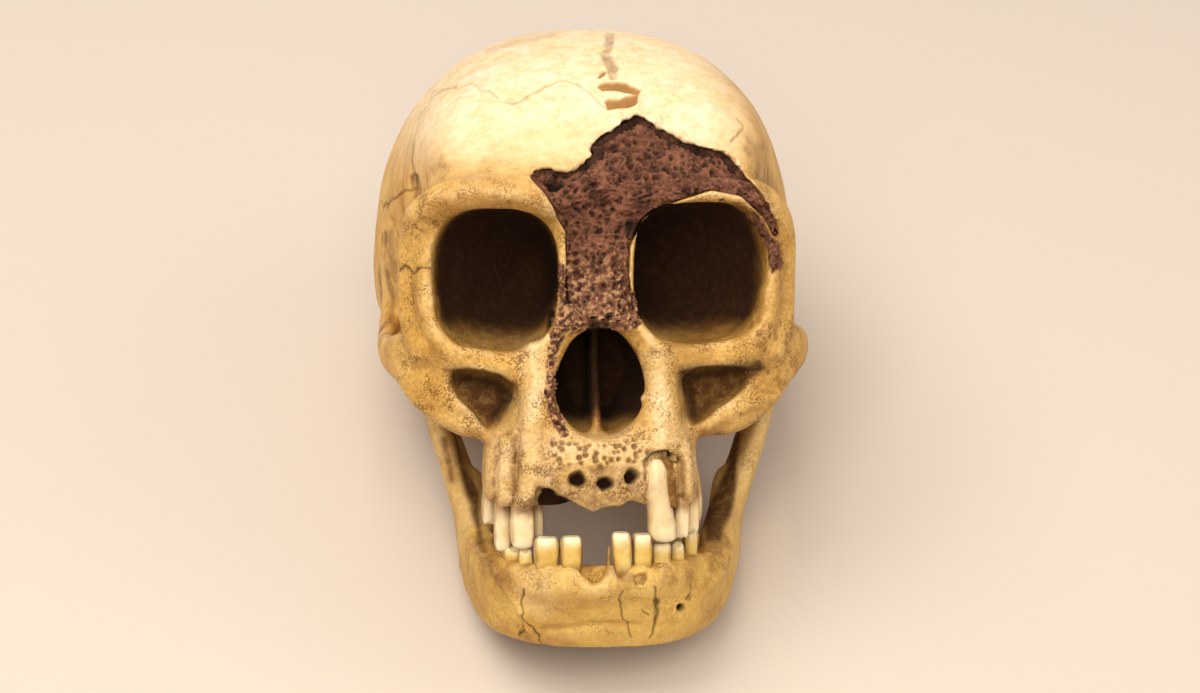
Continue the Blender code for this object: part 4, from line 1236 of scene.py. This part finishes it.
def biting_relief(raw, square, kind):
    """How the biting edge rises and dips, in millimetres."""
    if kind == "molar":
        cusps = np.cos(raw[:, 0] * math.pi) * np.cos(raw[:, 1] * math.pi)
        return 0.45 * cusps - 0.2 - 0.5 * square ** 6
    if kind in ("canine", "bare"):
        return -0.8 * square ** 2
    return -0.35 * (1 - square) - 0.45 * square ** 6


def mark_tooth(obj, neck_at, edge_at, half_x, seed, kind):
    """Stores where a tooth's neck, sides, tip and stains are."""
    points = mesh_points(obj)
    below = (points[:, 2] - neck_at[2]) / (edge_at[2] - neck_at[2])
    middle = neck_at[0] + np.clip(below, -1.5, 1.0) * (edge_at[0] - neck_at[0])
    outward = np.abs(points[:, 0] - middle) / half_x
    neck = {"bare": 0.25 * smoothstep(0.4, -0.1, below), "splinter": np.ones(len(points))}
    set_mask(obj, "neck", neck.get(kind, smoothstep(0.32, -0.08, below)))
    set_mask(obj, "side", smoothstep(0.52, 0.86, outward + 0.12 * soft_noise(points, 1.6, seed + 5)))
    set_mask(obj, "tip", smoothstep(0.55, 1.0, below))
    set_mask(obj, "stain_and_shade", smoothstep(-0.1, 0.6, layered_noise(points, 2.5, seed + 9)))


def tooth(name, neck_at, edge_at, half_x, half_y, root, seed, kind):
    """A crown from neck_at to edge_at with a root down to the level root, in millimetres."""
    obj = cube_grid(name, GRID_CUTS)
    raw = np.array([vertex.co for vertex in obj.data.vertices])
    neck_at, edge_at = np.array(neck_at, float), np.array(edge_at, float)
    gum, edge = neck_at[2], edge_at[2]
    along = (raw[:, 2] + 1) / 2
    square = np.abs(raw[:, :2]).max(axis=1)
    length = np.maximum(np.linalg.norm(raw[:, :2], axis=1), 1e-6)
    roundness = 0.9 if kind == "bare" else 0.55
    spread = roundness * raw[:, :2] / length[:, None] * square[:, None] + (0.97 - roundness) * raw[:, :2]
    neck = (gum - root) / (edge - root)
    crown = (along - neck) / (1 - neck)
    lean = np.clip(crown, -1.5, 1.0)[:, None] * (edge_at - neck_at)[None, :2]
    wide = spread * np.array([half_x, half_y]) * girth(along, neck, crown, kind)[:, None]
    flat = neck_at[:2] + lean + wide
    bite = math.copysign(1.0, edge - root) * smoothstep(0.93, 1.0, crown) * biting_relief(raw, square, kind)
    placed = np.column_stack([flat, root + (edge - root) * along + bite])
    placed += 0.13 * np.stack([soft_noise(placed, 2.6, seed + k) for k in range(3)], axis=1)
    set_points(obj, placed)
    apply_modifier(obj, "SMOOTH", factor=0.5, iterations=2)
    apply_modifier(obj, "SUBSURF", levels=1, render_levels=1)
    mark_tooth(obj, neck_at, edge_at, half_x, seed, kind)
    return obj


def seen_tooth(name, left, right, neck_row, edge_row, y, half_y, root, seed, kind, lean=0.0):
    """A tooth that fills a box of photo pixels, at depth y; lean shifts its edge sideways."""
    neck_at = at_depth(((left + right) / 2 - lean, neck_row), y)
    edge_at = at_depth(((left + right) / 2, edge_row), y)
    half_x = (at_depth((right, edge_row), y)[0] - at_depth((left, edge_row), y)[0]) / 2
    return tooth(name, neck_at, edge_at, half_x, half_y, root, seed, kind)


def arch_tooth(name, side, half_width, front, centre, angle, half_x, half_y, gum, edge, root, seed):
    """A back tooth, placed by its angle round the arch."""
    across_arch, y = arch_point(half_width, front, angle)
    x = centre + side * across_arch
    return tooth(name, (x, y, gum), (x, y, edge), half_x, half_y, root, seed, "molar")


def join(name, objects):
    bpy.ops.object.select_all(action="DESELECT")
    for obj in objects:
        obj.select_set(True)
    bpy.context.view_layer.objects.active = objects[0]
    bpy.ops.object.join()
    objects[0].name = name
    bpy.ops.object.select_all(action="DESELECT")
    return objects[0]


upper_row = [
    seen_tooth("upper_left_canine", 509, 536, 508, 548.5, -3.1, 3.6, -34, 201, "canine"),
    seen_tooth("upper_left_premolar", 493, 512, 508, 551.5, 5.3, 4.1, -34, 206, "canine"),
    seen_tooth("upper_yellow_sliver", 533, 544, 507, 538, 3.0, 3.0, -35, 211, "canine"),
    seen_tooth("upper_left_molar", 481, 497, 488, 524, 17, 4.6, -34, 216, "molar"),
    arch_tooth("upper_back_molar", -1, UPPER_ROW, -9.0, -1.2, 116, 4.3, 4.6, -39, -46.2, -33, 221),
    seen_tooth("bare_canine", 647.5, 680.5, 520, 542, -8.6, 4.8, -28.4, 226, "bare", lean=3.0),
    seen_tooth("upper_right_premolar", 672, 690, 505, 537, -0.5, 4.0, -33, 231, "molar"),
    seen_tooth("upper_right_second", 683, 700, 499, 532, 7.0, 4.2, -33, 236, "molar"),
    seen_tooth("upper_right_molar", 682, 703, 489, 520, 17, 4.8, -33, 241, "molar"),
    arch_tooth("upper_back_molar", 1, UPPER_ROW, -9.0, -1.2, 116, 4.5, 4.8, -39, -46.4, -33, 246),
]
lower_row = [
    seen_tooth("lower_left_incisor", 559.5, 583, 568, 535.5, -9.6, 3.0, -63, 251, "blade"),
    seen_tooth("lower_left_second", 533, 560.5, 570, 536.5, -7.4, 3.2, -63, 256, "blade"),
    seen_tooth("lower_left_canine", 517, 534, 572, 548, -1.5, 3.2, -63, 261, "molar"),
    arch_tooth("lower_left_premolar", -1, LOWER_ROW, LOWER_FRONT, 0, 76, 3.6, 4.2, -57.0, -52.8, -63, 266),
    arch_tooth("lower_left_molar", -1, LOWER_ROW, LOWER_FRONT, 0, 91, 4.8, 4.8, -57.0, -52.8, -63, 271),
    arch_tooth("lower_back_molar", -1, LOWER_ROW, LOWER_FRONT, 0, 108, 5.0, 4.8, -56, -49.6, -63, 276),
    seen_tooth("lower_right_incisor", 610, 631.5, 572, 531.5, -10.2, 3.1, -61, 281, "blade", lean=-2.0),
    seen_tooth("lower_right_second", 631.5, 653, 570, 533, -8.6, 3.2, -63, 286, "blade"),
    seen_tooth("lower_right_canine", 650, 671.5, 572, 541.5, -4.4, 3.5, -63, 291, "blade"),
    seen_tooth("lower_right_premolar", 669, 685, 568, 541.5, 1.4, 3.8, -63, 296, "molar"),
    seen_tooth("lower_right_second_premolar", 682, 698, 562, 527, 9.0, 4.4, -63, 301, "molar"),
    arch_tooth("lower_right_molar", 1, LOWER_ROW, LOWER_FRONT, 0, 97, 5.0, 4.8, -56, -49.6, -63, 306),
    seen_tooth("root_splinter", 605.5, 612, 574, 545, -10.2, 1.2, -61, 316, "splinter"),
    arch_tooth("lower_back_molar", 1, LOWER_ROW, LOWER_FRONT, 0, 111, 5.0, 4.8, -55.5, -48.8, -63, 311),
]
upper_teeth = join("upper_teeth", upper_row)
lower_teeth = join("lower_teeth", lower_row)
print("tooth faces:", len(upper_teeth.data.polygons), len(lower_teeth.data.polygons))

# %% [markdown]
# ## Finishes
#
# Two effects appear in several materials, so each is a node group: fine brown specks that
# sit in tiny pores, and a cloudy mixing of two tones. Bone, matrix and enamel then set
# their own colours and strengths.

# %% Node groups
def new_group(name, inputs, outputs):
    group = bpy.data.node_groups.new(name, "ShaderNodeTree")
    for title, value in inputs:
        socket = group.interface.new_socket(title, in_out="INPUT", socket_type="NodeSocketFloat")
        socket.default_value = value
    for title in outputs:
        group.interface.new_socket(title, in_out="OUTPUT", socket_type="NodeSocketFloat")
    return group, group.nodes.new("NodeGroupInput"), group.nodes.new("NodeGroupOutput")


def node(tree, kind, **settings):
    made = tree.nodes.new(kind)
    for key, value in settings.items():
        setattr(made, key, value)
    return made


def math_node(tree, operation, first, second, clamp=False):
    made = node(tree, "ShaderNodeMath", operation=operation, use_clamp=clamp)
    for slot, value in zip(made.inputs, (first, second)):
        if isinstance(value, (int, float)):
            slot.default_value = value
        else:
            tree.links.new(value, slot)
    return made.outputs[0]


def build_specks():
    """Small dark pores, thick in some places and rare in others."""
    group, start, end = new_group("bone_specks", [("Size", 900.0), ("Amount", 0.5)], ["Mask", "Height"])
    links = group.links
    place = node(group, "ShaderNodeTexCoord").outputs["Object"]
    cells = node(group, "ShaderNodeTexVoronoi", feature="F1")
    crowd = node(group, "ShaderNodeTexNoise")
    crowd.inputs["Scale"].default_value = 170.0
    crowd.inputs["Detail"].default_value = 4.0
    links.new(place, cells.inputs["Vector"])
    links.new(place, crowd.inputs["Vector"])
    links.new(start.outputs["Size"], cells.inputs["Scale"])
    reach = math_node(group, "MULTIPLY", math_node(group, "SUBTRACT", crowd.outputs["Fac"], 0.36), 2.2)
    reach = math_node(group, "MULTIPLY", reach, start.outputs["Amount"])
    near = math_node(group, "SUBTRACT", reach, cells.outputs["Distance"])
    mask = math_node(group, "MULTIPLY", near, 4.5, clamp=True)
    links.new(mask, end.inputs["Mask"])
    links.new(math_node(group, "SUBTRACT", 1.0, mask), end.inputs["Height"])
    return group


def build_clouds():
    """Cloudy mask between two tones."""
    group, start, end = new_group("cloudy_tones", [("Size", 60.0), ("Sharpness", 3.0)], ["Mask"])
    place = node(group, "ShaderNodeTexCoord").outputs["Object"]
    noise = node(group, "ShaderNodeTexNoise")
    noise.inputs["Detail"].default_value = 7.0
    noise.inputs["Roughness"].default_value = 0.62
    group.links.new(place, noise.inputs["Vector"])
    group.links.new(start.outputs["Size"], noise.inputs["Scale"])
    centred = math_node(group, "SUBTRACT", noise.outputs["Fac"], 0.5)
    sharp = math_node(group, "MULTIPLY", centred, start.outputs["Sharpness"])
    group.links.new(math_node(group, "ADD", sharp, 0.5, clamp=True), end.inputs["Mask"])
    return group


SPECKS = build_specks()
CLOUDS = build_clouds()
print("node groups:", SPECKS.name, CLOUDS.name)

# %% [markdown]
# ## Short words for materials
#
# A material is built from few kinds of steps: use a group, mix two colours, read a mask
# that was stored on the mesh, scale or multiply a value, and add a bump.

# %% Material helpers
def use_group(tree, group, **values):
    made = node(tree, "ShaderNodeGroup", node_tree=group)
    for key, value in values.items():
        made.inputs[key].default_value = value
    return made


def enabled_socket(sockets, name):
    """The socket with this name that the node's settings have switched on."""
    return next(socket for socket in sockets if socket.name == name and socket.enabled)


def mix(tree, factor, first, second):
    """Mix of two colours, each a colour or another node's output."""
    made = node(tree, "ShaderNodeMix", data_type="RGBA")
    for title, value in (("Factor", factor), ("A", first), ("B", second)):
        socket = enabled_socket(made.inputs, title)
        if isinstance(value, bpy.types.NodeSocket):
            tree.links.new(value, socket)
        elif isinstance(value, (int, float)):
            socket.default_value = value
        else:
            socket.default_value = (*value, 1.0)
    return next(socket for socket in made.outputs if socket.enabled)


def mask_value(tree, name):
    return node(tree, "ShaderNodeAttribute", attribute_name=name).outputs["Fac"]


def scaled(tree, value, gain, offset=0.0):
    """A value times gain plus offset, held between 0 and 1."""
    return math_node(tree, "ADD", math_node(tree, "MULTIPLY", value, gain), offset, clamp=True)


def product(tree, first, second):
    return math_node(tree, "MULTIPLY", first, second, clamp=True)


def new_material(name, roughness, specular):
    material = bpy.data.materials.new(name)
    material.use_nodes = True
    shader = material.node_tree.nodes["Principled BSDF"]
    shader.inputs["Roughness"].default_value = roughness
    shader.inputs["Specular IOR Level"].default_value = specular
    return material, material.node_tree, shader


def add_bump(tree, shader, height, strength, distance):
    bump = node(tree, "ShaderNodeBump")
    bump.inputs["Strength"].default_value = strength
    bump.inputs["Distance"].default_value = distance
    tree.links.new(height, bump.inputs["Height"])
    tree.links.new(bump.outputs["Normal"], shader.inputs["Normal"])


# %% [markdown]
# ## Bone
#
# Ochre lies under cream. The clouds decide how much of each shows, the stored masks lay
# cream and a painted highlight on crowns and ridges and brown stain and painted shade in
# hollows, and the specks put pores all over, most of all on the face.

# %% Bone material
OCHRE = (0.68, 0.36, 0.055)
DEEP_OCHRE = (0.42, 0.185, 0.022)
CREAM = (0.95, 0.78, 0.57)
YELLOW = (0.89, 0.60, 0.19)
JAW_OCHRE = (0.66, 0.39, 0.055)
JAW_YELLOW = (0.84, 0.57, 0.13)
UMBER = (0.14, 0.046, 0.006)
CRACK_AND_SHADE_BROWN = (0.022, 0.007, 0.002)
MATRIX_DEEP = (0.022, 0.006, 0.003)
MATRIX_RED = (0.155, 0.052, 0.027)
MATRIX_ROSE = (0.37, 0.155, 0.085)
MATRIX_WARM = (0.62, 0.36, 0.17)
MATRIX_SHADE_BLACK = (0.010, 0.003, 0.002)


def bone_colour(tree, speck_amount, cream_share, ochre, yellow):
    """Layers of bone colour, and the mask of its specks."""
    broad = use_group(tree, CLOUDS, Size=38.0, Sharpness=3.4).outputs["Mask"]
    middle = use_group(tree, CLOUDS, Size=120.0, Sharpness=3.6).outputs["Mask"]
    fine = use_group(tree, CLOUDS, Size=420.0, Sharpness=3.4).outputs["Mask"]
    base = mix(tree, middle, ochre, DEEP_OCHRE)
    base = mix(tree, scaled(tree, broad, 0.5), base, yellow)
    # Cream over the ochre where the pale mask is high: the cast's cream and a painted highlight.
    share = scaled(tree, mask_value(tree, "pale"), 1.0 - cream_share, cream_share)
    cream_and_highlight = product(tree, share, scaled(tree, fine, 0.45, 0.68))
    golden = scaled(tree, middle, 0.45)
    golden = math_node(tree, "ADD", golden, scaled(tree, mask_value(tree, "porous"), 0.42), clamp=True)
    cream = mix(tree, golden, CREAM, YELLOW)
    base = mix(tree, cream_and_highlight, base, cream)
    # Brown stain, and painted shade in hollows, sockets and on faces that point down.
    stain_and_shade = product(tree, mask_value(tree, "stain_and_shade"), scaled(tree, fine, 0.8, 0.5))
    base = mix(tree, stain_and_shade, base, UMBER)
    grain = use_group(tree, CLOUDS, Size=950.0, Sharpness=5.0).outputs["Mask"]
    grain = product(tree, grain, scaled(tree, mask_value(tree, "porous"), 0.27, 0.04))
    base = mix(tree, grain, base, UMBER)
    specks = use_group(tree, SPECKS, Size=1700.0, Amount=speck_amount).outputs["Mask"]
    wide = use_group(tree, SPECKS, Size=950.0, Amount=speck_amount * 0.72).outputs["Mask"]
    amount = scaled(tree, mask_value(tree, "porous"), 0.6, 0.12)
    dots = product(tree, math_node(tree, "MAXIMUM", specks, wide), amount)
    base = mix(tree, dots, base, UMBER)
    return base, dots, fine


def matrix_colour(tree):
    """The sediment's colour: reddish brown, with rose painted glints on its strings and grains and painted
    shade nearly black in its pores.
    """
    cloud = use_group(tree, CLOUDS, Size=330.0, Sharpness=3.5).outputs["Mask"]
    broad = use_group(tree, CLOUDS, Size=90.0, Sharpness=3.0).outputs["Mask"]
    base = mix(tree, cloud, MATRIX_DEEP, MATRIX_RED)
    base = mix(tree, scaled(tree, broad, 0.55), base, MATRIX_ROSE)
    light = mix(tree, mask_value(tree, "warm"), MATRIX_ROSE, MATRIX_WARM)
    base = mix(tree, scaled(tree, mask_value(tree, "glint"), 0.9), base, light)
    base = mix(tree, scaled(tree, mask_value(tree, "pore"), 0.85), base, MATRIX_DEEP)
    return base, cloud


def bone_material(name, speck_amount, cream_share, ochre, yellow):
    """Bone with its stains and painted shade; where it is darkest it is also dull, so no lamp shines in a
    socket.
    """
    material, tree, shader = new_material(name, 0.55, 0.22)
    base, dots, fine = bone_colour(tree, speck_amount, cream_share, ochre, yellow)
    base = mix(tree, mask_value(tree, "matrix"), base, matrix_colour(tree)[0])
    # Cracks, and the darkest painted shade in sockets, holes and hollows.
    base = mix(tree, mask_value(tree, "dark"), base, CRACK_AND_SHADE_BROWN)
    tree.links.new(base, shader.inputs["Base Color"])
    dullness = math_node(tree, "MULTIPLY", mask_value(tree, "dark"), 0.45)
    dullness = math_node(tree, "ADD", scaled(tree, fine, 0.2, 0.45), dullness, clamp=True)
    tree.links.new(dullness, shader.inputs["Roughness"])
    rough = math_node(tree, "MULTIPLY", math_node(tree, "SUBTRACT", 1.0, dots), 0.7)
    add_bump(tree, shader, math_node(tree, "ADD", rough, scaled(tree, fine, 0.35)), 0.5, 0.0004)
    return material


BONE = bone_material("cast_bone", 0.95, 0.08, OCHRE, YELLOW)
JAW_BONE = bone_material("jaw_bone", 0.85, 0.12, JAW_OCHRE, JAW_YELLOW)
print("bone materials:", BONE.name, JAW_BONE.name)

# %% [markdown]
# ## Sediment
#
# The big brown piece takes the same colours as the sediment on the bone. It gets painted shade
# nearly black in its pores, its pit, the sinus hole, the brow notch and under the bone's upper
# edge, and the thin lip above the eye socket is cream, since that is bone.

# %% Matrix material
def matrix_material():
    material, tree, shader = new_material("porous_matrix", 0.8, 0.25)
    base, cloud = matrix_colour(tree)
    # Painted shade and shadow, nearly black, in the pit, the sinus hole, the brow notch and under the upper
    # edge.
    base = mix(tree, mask_value(tree, "dark"), base, MATRIX_SHADE_BLACK)
    base = mix(tree, mask_value(tree, "bone"), base, CREAM)
    tree.links.new(base, shader.inputs["Base Color"])
    grains = use_group(tree, SPECKS, Size=1300.0, Amount=0.9)
    add_bump(tree, shader, math_node(tree, "ADD", grains.outputs["Height"], cloud), 0.8, 0.0006)
    return material


MATRIX = matrix_material()
print("sediment material:", MATRIX.name)

# %% [markdown]
# ## Enamel
#
# Teeth are smoother and shinier than bone: cream at the crown, yellow and then brown
# towards the neck, with fine stains, and painted shade at their sides where they meet.

# %% Enamel material
def enamel_material(name, crown, middle, neck_colour, tip_colour):
    """Enamel from its crown's two tones, its neck's colour and the colour of its rubbed tip."""
    material, tree, shader = new_material(name, 0.3, 0.5)
    cloud = use_group(tree, CLOUDS, Size=240.0, Sharpness=3.0).outputs["Mask"]
    neck = mask_value(tree, "neck")
    base = mix(tree, cloud, crown, middle)
    base = mix(tree, scaled(tree, mask_value(tree, "tip"), 0.9), base, tip_colour)
    base = mix(tree, scaled(tree, neck, 0.9), base, neck_colour)
    # The sides of each tooth are browned as painted shade between the teeth.
    edges = product(tree, mask_value(tree, "side"), scaled(tree, cloud, 0.4, 0.5))
    base = mix(tree, edges, base, neck_colour)
    streaks = product(tree, mask_value(tree, "stain_and_shade"), scaled(tree, neck, 0.7, 0.15))
    base = mix(tree, streaks, base, UMBER)
    specks = use_group(tree, SPECKS, Size=700.0, Amount=0.4).outputs["Mask"]
    base = mix(tree, product(tree, specks, neck), base, UMBER)
    tree.links.new(base, shader.inputs["Base Color"])
    add_bump(tree, shader, cloud, 0.15, 0.0003)
    return material


PALE_ENAMEL = enamel_material("pale_enamel", (0.90, 0.75, 0.47), (0.82, 0.62, 0.32), (0.50, 0.28, 0.11),
                              (0.93, 0.83, 0.58))
YELLOW_ENAMEL = enamel_material("yellow_enamel", (0.80, 0.58, 0.19), (0.66, 0.40, 0.08), (0.30, 0.15, 0.03),
                                (0.93, 0.84, 0.56))
print("enamels:", PALE_ENAMEL.name, YELLOW_ENAMEL.name)

# %% [markdown]
# ## Put the pieces together
#
# Each carved bone stands in for its plain node, gets its material and is shaded smooth.

# %% Dress the model
def finish_piece(obj, material):
    obj.data.materials.clear()
    obj.data.materials.append(material)
    obj.data.polygons.foreach_set("use_smooth", [True] * len(obj.data.polygons))
    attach(obj, "root")


for name, bone in bones.items():
    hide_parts(name)
    material = {"brown_infill": MATRIX, "mandible": JAW_BONE}.get(name, BONE)
    finish_piece(bone, material)
finish_piece(upper_teeth, PALE_ENAMEL)
finish_piece(lower_teeth, YELLOW_ENAMEL)
print("pieces:", len(bones) + 2)
